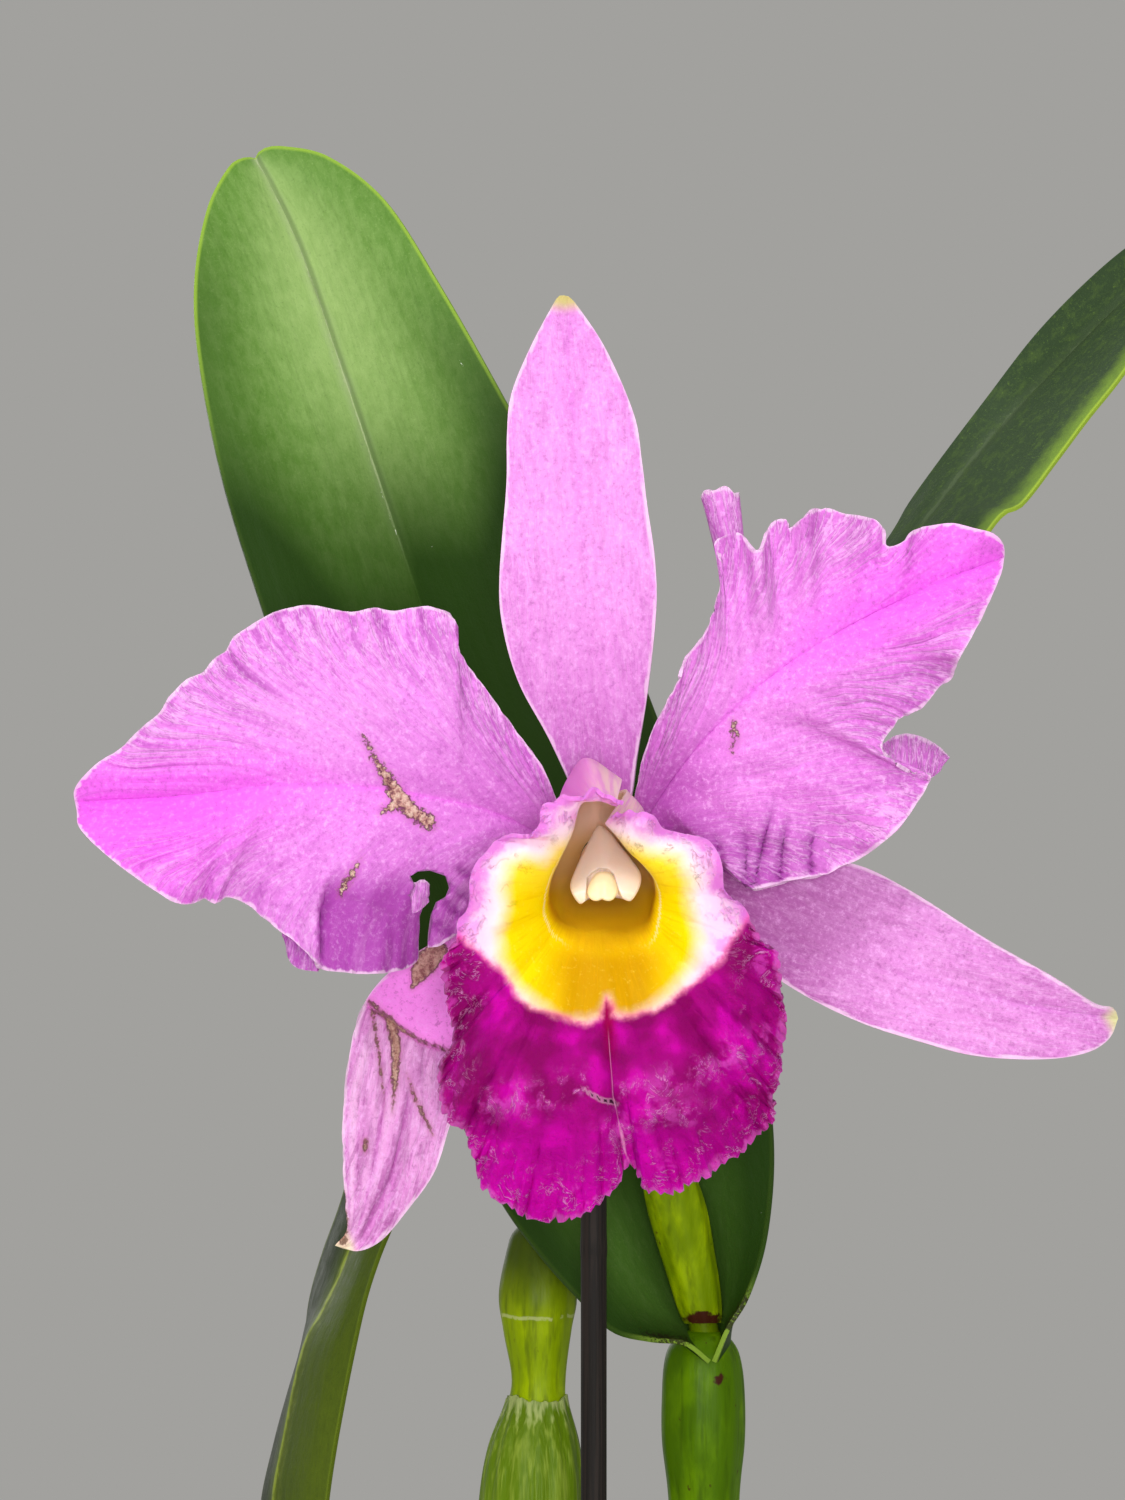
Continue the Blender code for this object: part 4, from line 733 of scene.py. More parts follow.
def lip_face():
    """Front of the lip: velvety flesh, ochre in the throat, then yellow, a whitish band, mottled
    pink side lobes and a deep magenta front lobe with raised, frosted scribbles. The throat is
    painted paler inside than at its mouth, as painted light for what shines through its walls."""
    def build(tree):
        skin, _, _, edge = parts(tree, "skin")
        _, yellow, magenta, depth = parts(tree, "zone")
        _, groove, crack, mouth = parts(tree, "mark")
        folded = add(tree, "Attribute", attribute_name="fold", output="Fac")
        spot = in_mm(tree)
        across, _, height = add(tree, "SeparateXYZ", {0: spot}).node.outputs
        streak = grain(tree, skin, 1.2, 3.0, (1, 5, 60))
        cloud = grain(tree, spot, 2.8, 4.0, rough=0.6)
        frost = grain(tree, spot, 0.8, 5.0, rough=0.7)
        worm = grain(tree, skin, 5.6, 5.0, (1.2, 1, 60), 0.7, 1.2)
        drift = grain(tree, spot, 7.0, 2.0)
        wander = between(tree, cloud, 0.3, 0.7, -1.0, 1.0)

        from_edge = total(tree, edge, times(tree, wander, 1.2))
        cream = between(tree, total(tree, yellow, times(tree, wander, 0.3)), -3.4, -0.6)
        lobe = layers(
            tree, "#F6C8EC",
            ("#EA98E2", between(tree, cloud, 0.46, 0.62, 0.0, 0.9)),
            ("#D05CCE", between(tree, from_edge, 3.4, 0.2, 0.0, 0.9)),
            ("#FBDDF6", times(tree, between(tree, frost, 0.56, 0.72), 0.35)),
            ("#FAE2E2", times(tree, cream, 0.85)))

        low = times(tree, between(tree, away_from(tree, across), 11.0, 4.0),
                    between(tree, height, FLOWER_Z - 5.0, FLOWER_Z - 11.0))
        gold = layers(
            tree, "#F8D800", ("#C89600", low),
            ("#E0A800", times(tree, between(tree, streak, 0.5, 0.7), 0.3)),
            ("#FFEC60", times(tree, between(tree, frost, 0.55, 0.75), 0.3)))
        # Painted light: the throat grows paler inside, standing for light that passes through its thin
        # walls.
        deep = add(tree, "ValToRGB", {"Fac": depth},
                   stops=[(0.0, "#CC9A00"), (1.0, "#C89A30"), (0.3, "#D8B018"), (0.65, "#F0C848")])
        deep = layers(
            tree, deep,
            ("#FFD894", between(tree, height, FLOWER_Z - 2.0, FLOWER_Z + 3.0)),
            ("#FFDCCC", between(tree, height, FLOWER_Z + 3.0, FLOWER_Z + 9.0)))
        golden = between(tree, total(tree, yellow, times(tree, wander, 0.2)), -2.0, 1.4)
        lit_rim = times(tree, between(tree, mouth, 0.4, 0.1),
                        between(tree, height, FLOWER_Z - 9.0, FLOWER_Z - 5.0))

        outer = combined(tree, "MAXIMUM", between(tree, edge, 12.0, 3.0, 0.0, 1.0), folded)
        lace = times(tree, ridge(tree, worm, 0.02), between(tree, cloud, 0.46, 0.56), outer)
        blush = times(tree, between(tree, worm, 0.54, 0.62), between(tree, cloud, 0.5, 0.6), outer)
        notch = between(tree, height, FLOWER_Z - 26.0, FLOWER_Z - 18.0)
        line = times(tree, between(tree, groove, 0.3, 0.1), between(tree, notch, 1.0, 0.4))
        velvet = layers(
            tree, "#A0007A",
            ("#82005A", between(tree, drift, 0.52, 0.38, 0.0, 0.85)),
            ("#D000AC", between(tree, drift, 0.52, 0.64, 0.0, 0.7)),
            ("#D600B4", between(tree, height, FLOWER_Z - 28.0, FLOWER_Z - 42.0, 0.0, 0.7)),
            ("#80005E", between(tree, frost, 0.44, 0.3, 0.0, 0.4)),
            ("#E04CC8", times(tree, blush, 0.4)),
            ("#E85CD4", times(tree, folded, between(tree, cloud, 0.45, 0.6), 0.35)),
            ("#F8ACE8", times(tree, lace, 0.65)),
            ("#E45AD0", times(tree, between(tree, frost, 0.62, 0.74), outer, 0.4)),
            ("#E070CC", between(tree, from_edge, 1.2, 0.0, 0.0, 0.45)),
            ("#98003C", times(tree, between(tree, groove, 1.6, 0.3), notch, 0.8)),
            ("#EE9ACC", times(tree, line, 0.75)))

        border = total(tree, magenta, times(tree, wander, 0.3))
        colour = layers(
            tree, lobe, (gold, golden),
            (deep, between(tree, depth, -0.02, 0.10)),
            ("#F8E6B4", times(tree, lit_rim, 0.6)),
            ("#EE4C9C", between(tree, border, -1.0, 0.2, 0.0, 0.7)),
            (velvet, between(tree, border, -0.6, 0.6)),
            ("#D9A9C4", times(tree, between(tree, crack, -0.3, 0.0), 0.5)),
            ("#3C1230", between(tree, crack, -0.1, 0.1)))
        rough = between(tree, magenta, -1.5, 1.5, 0.12, 1.0)
        fringe = times(tree, rough, between(tree, edge, 9.0, 1.0, 0.3, 1.0))
        relief = total(tree, times(tree, streak, fringe, 0.3), times(tree, frost, rough, 0.4),
                       times(tree, lace, 0.15))
        return {"Base Color": colour, "Roughness": 0.55, "Specular IOR Level": 0.06,
                "Normal": bump(tree, relief, 1.0), **LIP_FLESH}
    return material("lip_velvet_flesh", build)


def lip_back():
    """Outside of the lip: smooth pale flesh, pink toward its margin and down its left side."""
    def build(tree):
        skin, _, _, edge = parts(tree, "skin")
        _, _, magenta, _ = parts(tree, "zone")
        spot = in_mm(tree)
        across = add(tree, "SeparateXYZ", {0: spot}, output="X")
        cloud = grain(tree, spot, 1.6, 4.0)
        streak = grain(tree, skin, 1.0, 4.0, (1, 8, 60))
        rim = total(tree, edge, between(tree, cloud, 0.3, 0.7, -2.5, 2.5))
        colour = layers(
            tree, "#E4BCBC",
            ("#DC94C4", between(tree, streak, 0.4, 0.65)),
            ("#CE66BE", between(tree, across, 1.0, -4.0, 0.0, 0.9)),
            ("#D779D4", between(tree, rim, 6.0, 0.5, 0.0, 0.85)),
            ("#B8409F", times(tree, between(tree, magenta, 0.0, 2.0), 0.85)))
        return {"Base Color": colour, "Roughness": 0.5, "Specular IOR Level": 0.25,
                "Normal": bump(tree, streak, 0.12), **LIP_FLESH}
    return material("lip_outer_flesh", build)


def waxy_flesh(name, light, dark):
    """Column and anther cap: firm waxy flesh, almost smooth, with a soft shine."""
    def build(tree):
        spot = in_mm(tree)
        soft = grain(tree, spot, 2.0, 3.0)
        colour = layers(
            tree, light,
            (dark, between(tree, height_of(tree, spot), FLOWER_Z + 1.0, FLOWER_Z + 7.0, 0.0, 0.8)),
            (dark, between(tree, soft, 0.45, 0.8, 0.0, 0.4)))
        return {"Base Color": colour, "Roughness": 0.4, "Specular IOR Level": 0.35,
                "Normal": bump(tree, soft, 0.08), **flesh(0.4, (1.0, 0.7, 0.45), 1.2)}
    return material(name, build)


def leaf_cuticle(name, ground, lit, deep, rim_colour, rib_colour, strength=0.6):
    """Orchid leaf: thick waxy cuticle over fine parallel veins, with a thin yellow-green margin,
    a pale line along the fold with painted shade in the valley either side, and a few dry
    scratches. The tint adds painted light and painted shade."""
    def build(tree):
        skin, from_rib, _, edge = parts(tree, "skin")
        # The tint: painted light, painted shade (low) and where the rim is pale.
        _, painted_light, low, rimmed = parts(tree, "tint")
        _, scratched, dried, ribbed = parts(tree, "mark")
        veins = grain(tree, skin, 0.6, 3.0, (1, 30, 60))
        mottle = grain(tree, skin, 1.5, 5.0, (1, 2.0, 60), 0.68)
        pores = grain(tree, in_mm(tree), 0.5, 4.0, rough=0.75)
        lighting = combined(tree, "ADD", painted_light, between(tree, mottle, 0.3, 0.7, -0.12, 0.12), clamp=True)
        rib_strength = times(tree, ribbed, strength)
        aside = total(tree, away_from(tree, from_rib), between(tree, mottle, 0.3, 0.7, -0.45, 0.45))
        # Painted shade in the valley either side of the pale rib line.
        painted_valley_shade = between(tree, away_from(tree, from_rib, 0.9), 0.8, 0.1)
        ragged = total(tree, dried, between(tree, pores, 0.3, 0.7, -0.5, 0.5))
        scratch = total(tree, scratched, between(tree, pores, 0.35, 0.65, -0.25, 0.1))
        colour = layers(
            tree, ground,
            (lit, lighting),
            (lit, times(tree, between(tree, pores, 0.55, 0.75), 0.35)),
            (deep, times(tree, between(tree, pores, 0.45, 0.28), 0.25)),
            (deep, times(tree, between(tree, veins, 0.5, 0.3), 0.08)),
            (deep, low),
            (rib_colour, times(tree, between(tree, aside, 2.2, 0.3, 0.0, 0.5), rib_strength)),
            (rib_colour, times(tree, between(tree, aside, 0.6, 0.2), rib_strength)),
            (deep, times(tree, painted_valley_shade, strength * 0.7)),
            (rim_colour, times(tree, between(tree, edge, 0.7, 0.25, 0.0, 0.65), rimmed)),
            ("#1C160C", between(tree, ragged, -0.1, 0.3, 0.0, 0.9)),
            ("#E4EAD8", between(tree, scratch, -0.05, 0.1, 0.0, 0.9)))
        relief = total(tree, times(tree, veins, 0.03), times(tree, mottle, 0.1), times(tree, pores, 0.05))
        return {"Base Color": colour, "Roughness": between(tree, mottle, 0.3, 0.7, 0.42, 0.56),
                "Specular IOR Level": 0.1, "Normal": bump(tree, relief, 1.0)}
    return material(name, build)


def green_skin(name, light, ground, dark, spots=0.0, shine=0.4, fade=None, ring=None, blot=None):
    """Stem and bulb skin: firm smooth flesh with faint lengthways streaks and brown specks.

    fade darkens it between two heights, ring draws an old leaf scar round it and blot is a
    brown spot.
    """
    def build(tree):
        spot = in_mm(tree)
        height = height_of(tree, spot)
        streak = grain(tree, spot, 1.3, 4.0, (1, 1, 12))
        mottle = grain(tree, spot, 5.0, 4.0, (1, 1, 2))
        fleck = grain(tree, spot, 1.5, 3.0, (1, 1, 1.6))
        colour = layers(
            tree, ground,
            (light, between(tree, mottle, 0.42, 0.68)),
            (dark, times(tree, between(tree, streak, 0.5, 0.3), 0.5)))
        if fade:
            colour = layers(tree, colour, (dark, between(tree, height, *fade, 0.0, 0.95)))
        colour = layers(tree, colour, ("#3B1D0C", between(tree, fleck, 0.68, 0.73, 0.0, spots)))
        if ring:
            off = away_from(tree, total(tree, height, times(tree, mottle, 2.0)), ring + 1.0)
            line = times(tree, between(tree, off, 0.4, 0.15), between(tree, fleck, 0.4, 0.5), 0.5)
            colour = layers(tree, colour, ("#C3C98C", line))
        if blot:
            colour = layers(tree, colour, ("#3A1A0E", patch(tree, *blot)))
        return {"Base Color": colour, "Roughness": shine, "Specular IOR Level": 0.07,
                "Normal": bump(tree, streak, 0.15), **flesh(0.08, (0.6, 1.0, 0.2), 1.0)}
    return material(name, build)


def dry_sheath():
    """Dry bract: thin papery skin with raised parallel fibres and torn pale patches. It bleaches
    toward its top."""
    def build(tree):
        spot = in_mm(tree)
        fibre = grain(tree, spot, 0.9, 2.0, (1, 1, 70))
        stain = grain(tree, spot, 4.0, 4.0, (1, 1, 4))
        worn = total(tree, height_of(tree, spot), between(tree, fibre, 0.3, 0.7, -2.0, 2.0))
        colour = layers(
            tree, "#567200",
            ("#889C34", between(tree, fibre, 0.45, 0.7, 0.0, 0.6)),
            ("#889C34", between(tree, stain, 0.55, 0.75, 0.0, 0.5)),
            ("#6B4A24", between(tree, stain, 0.34, 0.26, 0.0, 0.6)),
            ("#B4BC80", between(tree, worn, 198.5, 202.0, 0.0, 0.5)))
        return {"Base Color": colour, "Roughness": 0.5, "Specular IOR Level": 0.15,
                "Normal": bump(tree, fibre, 0.3)}
    return material("bulb_sheath", build)


def root_velamen():
    """Aerial root: spongy silver-white coat that turns green where it is thin."""
    def build(tree):
        spot = in_mm(tree)
        sponge = grain(tree, spot, 0.5, 4.0)
        blotch = grain(tree, spot, 6.0, 4.0)
        colour = layers(
            tree, "#C9C7AE",
            ("#9FA37A", between(tree, blotch, 0.45, 0.7)),
            ("#8A6B45", between(tree, blotch, 0.38, 0.26, 0.0, 0.8)),
            ("#EDEBDC", times(tree, between(tree, sponge, 0.5, 0.7), 0.6)))
        return {"Base Color": colour, "Roughness": 0.85, "Normal": bump(tree, sponge, 0.25)}
    return material("root_velamen", build)


def fir_bark(name, light, ground, dark):
    """Bark chip: broken outer bark, rough, with corky layers and torn fibres."""
    def build(tree):
        spot = in_mm(tree)
        layer = grain(tree, spot, 1.6, 5.0, (2.5, 2.5, 0.6), 0.65)
        tone = grain(tree, spot, 14.0, 2.0)
        crumb = grain(tree, spot, 0.6, 4.0, rough=0.7)
        colour = layers(
            tree, ground,
            (dark, between(tree, tone, 0.42, 0.58)),
            (light, between(tree, layer, 0.52, 0.68, 0.0, 0.8)),
            ("#20130B", between(tree, layer, 0.42, 0.3, 0.0, 0.85)))
        relief = total(tree, times(tree, crumb, 0.5), layer)
        return {"Base Color": colour, "Roughness": 0.92, "Normal": bump(tree, relief, 0.8)}
    return material(name, build)


def terracotta():
    """Unglazed clay: fine fired grain with turning lines and a bloom of dried salts."""
    def build(tree):
        spot = in_mm(tree)
        height = height_of(tree, spot)
        fine = grain(tree, spot, 0.5, 4.0)
        cloud = grain(tree, spot, 22.0, 5.0)
        turning = grain(tree, spot, 1.3, 3.0, (60, 60, 1))
        salt = grain(tree, spot, 7.0, 6.0, (1, 1, 0.7), 0.65)
        low = between(tree, height, 40.0, 5.0, 0.0, 0.5)
        rim = between(tree, height, 88.0, 96.0, 0.0, 0.35)
        bloom = total(tree, salt, combined(tree, "MAXIMUM", low, rim))
        colour = layers(
            tree, "#B3694A",
            ("#C78361", between(tree, cloud, 0.4, 0.65)),
            ("#9A5239", between(tree, cloud, 0.42, 0.3, 0.0, 0.7)),
            ("#A45E42", times(tree, between(tree, turning, 0.55, 0.35), 0.5)),
            ("#D99B78", times(tree, between(tree, fine, 0.6, 0.75), 0.5)),
            ("#E3D2C0", between(tree, bloom, 0.72, 1.15, 0.0, 0.75)))
        relief = total(tree, times(tree, turning, 0.8), times(tree, fine, 0.5))
        return {"Base Color": colour, "Roughness": 0.88, "Normal": bump(tree, relief, 0.25)}
    return material("fired_clay", build)


def stained_cane():
    """Stake: dark stained cane, fine lengthways grain with a dull shine."""
    def build(tree):
        fibre = grain(tree, in_mm(tree), 0.45, 3.0, (1, 1, 60))
        colour = layers(tree, "#221B17", ("#120E0B", between(tree, fibre, 0.4, 0.6)))
        return {"Base Color": colour, "Roughness": 0.65, "Specular IOR Level": 0.2,
                "Normal": bump(tree, fibre, 0.1)}
    return material("stained_cane", build)


def matt_paint():
    """Floor: flat pale paint with faint broad clouds and no shine of its own."""
    def build(tree):
        colour = layers(tree, "#C9C7C3", ("#C3C1BD", grain(tree, in_mm(tree), 120.0, 4.0)))
        return {"Base Color": colour, "Roughness": 0.9}
    return material("matt_floor_paint", build)


# The flower

# How far along a petal a vein travels between the rib and the margin, as a share of its length.
FAN = 0.3
# A blade narrower than this, in mm, is lifted less.
LIFT_OVER = 12.0
# The right half's veins are numbered on from here, so the halves don't mirror one another.
OTHER_SIDE = 300
# What a measure of drawn marks reads well away from all of them, in mm.
NO_MARK = -9.0


def blade(name, outline, cells, relief, clasp=0.0, lengthwise=False):
    """A petal, sepal or leaf between its margins. relief() lifts each place forward, in mm.

    clasp bows the foot out round a bulb. A lengthwise blade's veins run from foot to tip; on the
    others they fan from the rib to the margin.
    """
    across, along = cells

    def place(side, v):
        left, rib, right = matched_lines([outline[k] for k in ("left", "rib", "right")],
                                         outline.get("meet", []), v)
        t = np.abs(side)
        margin = np.where((side < 0)[:, None], left, right)
        width = np.linalg.norm(margin - rib, axis=1)
        spot = rib * (1 - t)[:, None] + margin * t[:, None]
        length = np.linalg.norm(np.diff(np.array(outline["rib"]), axis=0), axis=1).sum()
        facts = {"side": side, "t": t, "v": v, "x": spot[:, 0], "z": spot[:, 1],
                 "edge": (1 - t) * width, "from_rib": t * width,
                 "vein": (v + FAN * (1 - t) ** 2) * length + OTHER_SIDE * (side > 0)}
        lift, tint, mark = relief(facts)
        lift = lift * np.minimum(1.0, 6 * v) * np.minimum(1.0, width / LIFT_OVER)
        bow = clasp * np.sin(np.pi * t) * np.exp(-v / 0.07) * np.sign(side)
        spot = spot + np.stack([bow, 0 * bow, lift], axis=1)
        skin = np.stack([facts["vein"], facts["from_rib"], facts["edge"]], axis=1)
        if lengthwise:
            skin[:, :2] = np.stack([side * width, v * length], axis=1)
        return seen(spot), {"skin": skin, "tint": np.stack(tint, axis=1), "mark": np.stack(mark, axis=1)}

    piece = sheet(name, across, along, place)
    face_front(piece)
    return piece


def inside_lines(facts, lines):
    """How far inside drawn marks each place lies, in mm; a mark is a line of across, up and
    half width."""
    best = np.full(facts["x"].shape, NO_MARK)
    for line in lines:
        away, along = from_line(facts["x"], facts["z"], [p[:2] for p in line])
        width = np.interp(along, np.linspace(0, 1, len(line)), [p[2] for p in line])
        best = np.maximum(best, width - np.abs(away))
    return best


def crinkle(facts, size, period, reach):
    """Small folds square to the margin that die out inward."""
    run = facts["vein"] / period
    sway = 0.35 * np.sin(facts["from_rib"] / 3.0) + 0.25 * ripple(facts["vein"] / 17.0, 0.6)
    return size * np.exp(-facts["edge"] / reach) * ripple(run + sway, 0.4)


def petal_form(facts, beats, phase):
    """A petal: a groove at the rib, a slight crown and a ruffle that grows to the margin."""
    t, v = facts["t"], facts["v"]
    groove = -0.7 * np.exp(-(t / 0.10) ** 2)
    crown = 1.3 * np.sin(np.pi * t)
    ruffle = 1.3 * t ** 2.5 * np.sin(math.tau * beats * v + phase)
    swell = 0.35 * t * ripple(facts["vein"] / 7.5, 0.7)
    small = crinkle(facts, 0.5, 3.1, 7.0) + crinkle(facts, 0.26, 1.6, 4.0)
    return groove + crown + ruffle + swell + small * ease(v, 0.98, 0.72)


def petal_tint(facts, light_at, light_size):
    """Where a petal is flushed, where painted light makes it pale and where it is shaded."""
    v, across = facts["v"], facts["from_rib"]
    reach = 2.5 + 12.0 * v ** 2
    flush = 0.8 * ease(v, 0.22, 0.85) * np.exp(-(across / reach) ** 2)
    rib = 0.4 * np.exp(-(across / 0.5) ** 2) * ease(v, 0.02, 0.2) * ease(v, 0.75, 0.4)
    # A soft oval of painted light over the petal's lit part.
    pallor_and_painted_light = 0.6 * np.exp(-((facts["x"] - light_at[0]) / light_size[0]) ** 2
                        - ((facts["z"] - light_at[1]) / light_size[1]) ** 2)
    return [np.clip(flush + rib, 0, 1), pallor_and_painted_light, 0 * v]


def petal_calm(facts):
    """Where a petal's skin has no wrinkles: at its rib, and toward its tip."""
    return np.clip(0.8 * ease(facts["v"], 0.82, 0.95) + np.exp(-(facts["from_rib"] / 7.0) ** 2), 0, 0.8)


def creases(x, z, lines, width):
    """How deep each place lies in drawn creases, 0 to 1; each fades out toward its last point."""
    deep = np.zeros(x.shape)
    for line in lines:
        away, along = from_line(x, z, line)
        deep = np.maximum(deep, np.exp(-(away / width) ** 2) * ease(along, 1.0, 0.4))
    return deep


# Drawn on the petals, as across and up: the left one's fold, the scars with their half widths,
# and the pleats at the petals' feet.
FOLD_LEFT = [(-38.5, 2.2), (-40.1, -0.5), (-41.2, -4.5), (-41.2, -7.5), (-41.1, -12.5)]
SCARS_LEFT = [[(-34.7, 20.7, 0.0), (-33.3, 18.0, 0.25), (-31.4, 15.0, 0.6), (-29.6, 11.8, 1.1),
               (-27.6, 9.6, 1.0), (-25.2, 8.2, 0.8)],
              [(-32.0, 9.9, 0.2), (-30.4, 10.4, 0.6), (-29.2, 11.2, 0.8)],
              [(-37.9, -2.0, 0.2), (-36.9, -0.4, 0.4), (-36.0, 0.9, 0.25), (-34.6, 4.0, -0.3)]]
SCAR_RIGHT = [[(18.3, 22.6, 0.05), (18.6, 20.6, 0.3), (18.5, 19.6, 0.25), (18.1, 18.4, 0.0)]]
PLEATS_RIGHT = [[(17.0, 1.6), (16.2, 4.6), (15.4, 7.4)], [(20.1, -0.8), (20.2, 4.0), (19.6, 9.4)],
                [(21.4, -0.6), (22.6, 5.4), (25.0, 14.0)], [(25.0, 0.2), (25.4, 5.4), (26.3, 11.4)],
                [(29.4, 1.0), (29.3, 5.0), (30.6, 9.6)]]
PLEATS_LEFT = [[(-22.6, -3.4), (-20.0, -5.6), (-18.0, -7.4)], [(-22.4, -0.6), (-18.4, -3.6), (-15.6, -6.0)],
               [(-20.6, 1.4), (-17.0, -1.4), (-14.4, -4.0)], [(-24.0, -6.4), (-22.0, -8.0), (-20.4, -9.4)]]


def petal_left_relief(facts):
    """The left petal: turned back behind its fold, pleated at its foot and scarred."""
    lift = petal_form(facts, 5.5, 0.6) * np.where(facts["side"] < 0, 0.8, 1.0)
    x, z = facts["x"], facts["z"]
    away, along = from_line(x, z, FOLD_LEFT)
    deep = ease(along, 0.0, 0.5)
    behind = away > 0
    fold = np.where(behind, -2.2 * np.exp(-away / 6.0), 0.9 * np.exp(away / 7.0)) * deep
    step = ease(np.abs(away), 0, 0.4)
    pleats = creases(x, z, PLEATS_LEFT, 0.7)
    tint = petal_tint(facts, (-38, 24), (16, 11))
    dipped = ease(away, -0.2, 0.4) * ease(z, 4, -3) * ease(x, -18, -30)
    # Painted shade behind the fold, in the pleats and toward the lip.
    tint[2] = np.clip(0.95 * dipped + 0.8 * pleats + 0.35 * ease(x, -35, -18) * ease(z, 9, 1), 0, 1)
    tint[0] = np.clip(tint[0] + 0.5 * ease(facts["v"], 0.55, 0.9) * (facts["side"] < 0), 0, 1)
    # Painted light on the front lobe just before the fold.
    tint[1] = tint[1] + 0.5 * np.exp(np.minimum(away, 0) / 5.0) * (away < 0) * deep
    calm = np.maximum(petal_calm(facts), np.maximum(0.7 * dipped, 0.45 * (facts["side"] < 0)))
    mark = [inside_lines(facts, SCARS_LEFT), 0 * x, calm]
    return lift + fold * step - 0.9 * pleats, tint, mark


def petal_right_relief(facts):
    """The right petal: ruffled, with deep pleats at its foot and one small scar."""
    x, z = facts["x"], facts["z"]
    pleats = creases(x, z, PLEATS_RIGHT, 0.45)
    tint = petal_tint(facts, (22, 30), (9, 12))
    # Painted shade in the pleats, over the low part and toward the foot.
    tint[2] = np.clip(0.95 * pleats + 0.6 * ease(z, 12, 3) * ease(x, 36, 22)
                      + 0.7 * ease(x, 20, 8) * ease(z, 28, 12), 0, 1)
    mark = [inside_lines(facts, SCAR_RIGHT), 0 * x, petal_calm(facts)]
    lift = petal_form(facts, 6.5, 0.6) * np.where(facts["side"] < 0, 0.6, 0.9)
    return lift - 1.3 * pleats, tint, mark


def sepal_relief(facts):
    """A sound sepal: keeled along its rib and darker toward its foot."""
    t, v = facts["t"], facts["v"]
    keel = 0.5 * np.exp(-(t / 0.16) ** 2) - 1.1 * t ** 2
    flush = 0.4 * np.exp(-(facts["from_rib"] / 0.8) ** 2) * ease(v, 0.35, 0.8)
    shade = (0.8 * ease(v, 0.30, 0.04) + 0.15 * ease(t, 0.75, 1.0)
             + 0.6 * ease(v, 0.6, 0.3) * ease(facts["z"], 8, 0))
    mark = [0 * v + NO_MARK, ease(v, 0.955, 0.99), 0.35 + 0 * v]
    return keel, [flush, 0.35 * ease(v, 0.25, 0.5) * ease(v, 0.95, 0.7), shade], mark


# The left sepal's fold, across and up, and its brown stains with their half widths.
SEPAL_FOLD = [(-20.5, -24.6), (-25.7, -23.1), (-29.6, -20.8), (-33.5, -17.8)]
SEPAL_STAINS = [[(-33.6, -17.4, 0.2), (-31.6, -19.2, 0.4), (-29.6, -20.9, 0.2), (-25.7, -23.2, 0.1),
                 (-20.9, -24.6, 0.1)],
                [(-33.3, -18.5, 0.2), (-32.4, -24.0, 0.1), (-31.8, -29.5, 0.0), (-31.3, -34.0, -0.3)],
                [(-30.5, -20.5, 0.7), (-29.8, -24.0, 0.6), (-30.0, -28.5, 0.3), (-30.4, -33.5, -0.2)],
                [(-28.4, -27.5, -0.1), (-27.2, -30.8, 0.1), (-25.9, -33.6, 0.25), (-24.6, -36.4, 0.0)],
                [(-34.3, -37.2, 0.3), (-34.2, -38.6, 0.1)],
                [(-27.6, -15.4, 0.1), (-26.4, -13.0, 1.2), (-25.2, -11.3, 1.6), (-23.9, -10.1, 1.2)],
                [(-37.3, -44.0, -0.1), (-37.0, -49.0, 0.2), (-37.4, -51.6, 0.4)]]
# How deep each wrinkle is, and its line.
SEPAL_WRINKLES = [(0.4, [(-33.0, -19.4), (-34.2, -30.0), (-35.2, -46.0), (-36.4, -51.0)]),
                  (0.3, [(-31.6, -20.4), (-31.8, -32.0), (-33.4, -44.0), (-35.6, -51.0)]),
                  (0.9, [(-28.6, -30.0), (-28.9, -36.0), (-31.4, -43.0), (-34.8, -51.2)]),
                  (0.5, [(-26.4, -23.6), (-25.6, -32.0), (-28.2, -41.0), (-33.4, -51.0)]),
                  (0.35, [(-23.6, -24.6), (-23.4, -31.0), (-25.8, -40.0), (-31.6, -50.4)])]


def sepal_left_relief(facts):
    """The left sepal: bent at its fold, and dry, wrinkled and stained below it."""
    lift, tint, mark = sepal_relief(facts)
    away, _ = from_line(facts["x"], facts["z"], SEPAL_FOLD)
    below = away > 0
    side, v = facts["side"], facts["v"]
    lift = lift + np.where(below, -1.3 * np.exp(-away / 3.0), 0.6 * np.exp(away / 3.0))
    dry = ease(away, 0.0, 1.0)
    run = side * 2.6 + 0.5 * np.sin(5.3 * v + 1.2) + 0.25 * ripple(v * 2.3)
    wave = ripple(run, 0.9)
    outer = dry * ease(side, -0.6, 0.3)
    lift = lift + dry * 0.16 * wave + outer * 0.16 * ripple(run * 3.1 + 0.8 * np.sin(8 * v), 0.3)
    folds = np.zeros(v.shape)
    for strength, line in SEPAL_WRINKLES:
        off, _ = from_line(facts["x"] + 0.35 * np.sin(facts["z"] / 1.9 + 9 * strength), facts["z"], line)
        folds = np.maximum(folds, strength * np.exp(-(off / 0.4) ** 2))
    folds = folds * dry
    lift = lift - 0.4 * folds
    stripe = np.exp(-((side + 0.25) / 0.12) ** 2) * dry * ease(v, 0.4, 0.6)
    tint[1] = np.clip(outer * (0.3 + 0.3 * wave), 0, 1)
    tint[0] = 0.95 * (1 - dry)
    # Painted shade in the wrinkles and the waves' troughs; the stripe is the sepal's own lilac.
    tint[2] = np.clip(0.6 * folds + 0.35 * stripe + 0.1 * dry * ease(wave, 0.1, -0.7), 0, 1)
    mark = [inside_lines(facts, SEPAL_STAINS), ease(v, 0.945, 0.975), 1 - 0.9 * dry]
    return lift, tint, mark


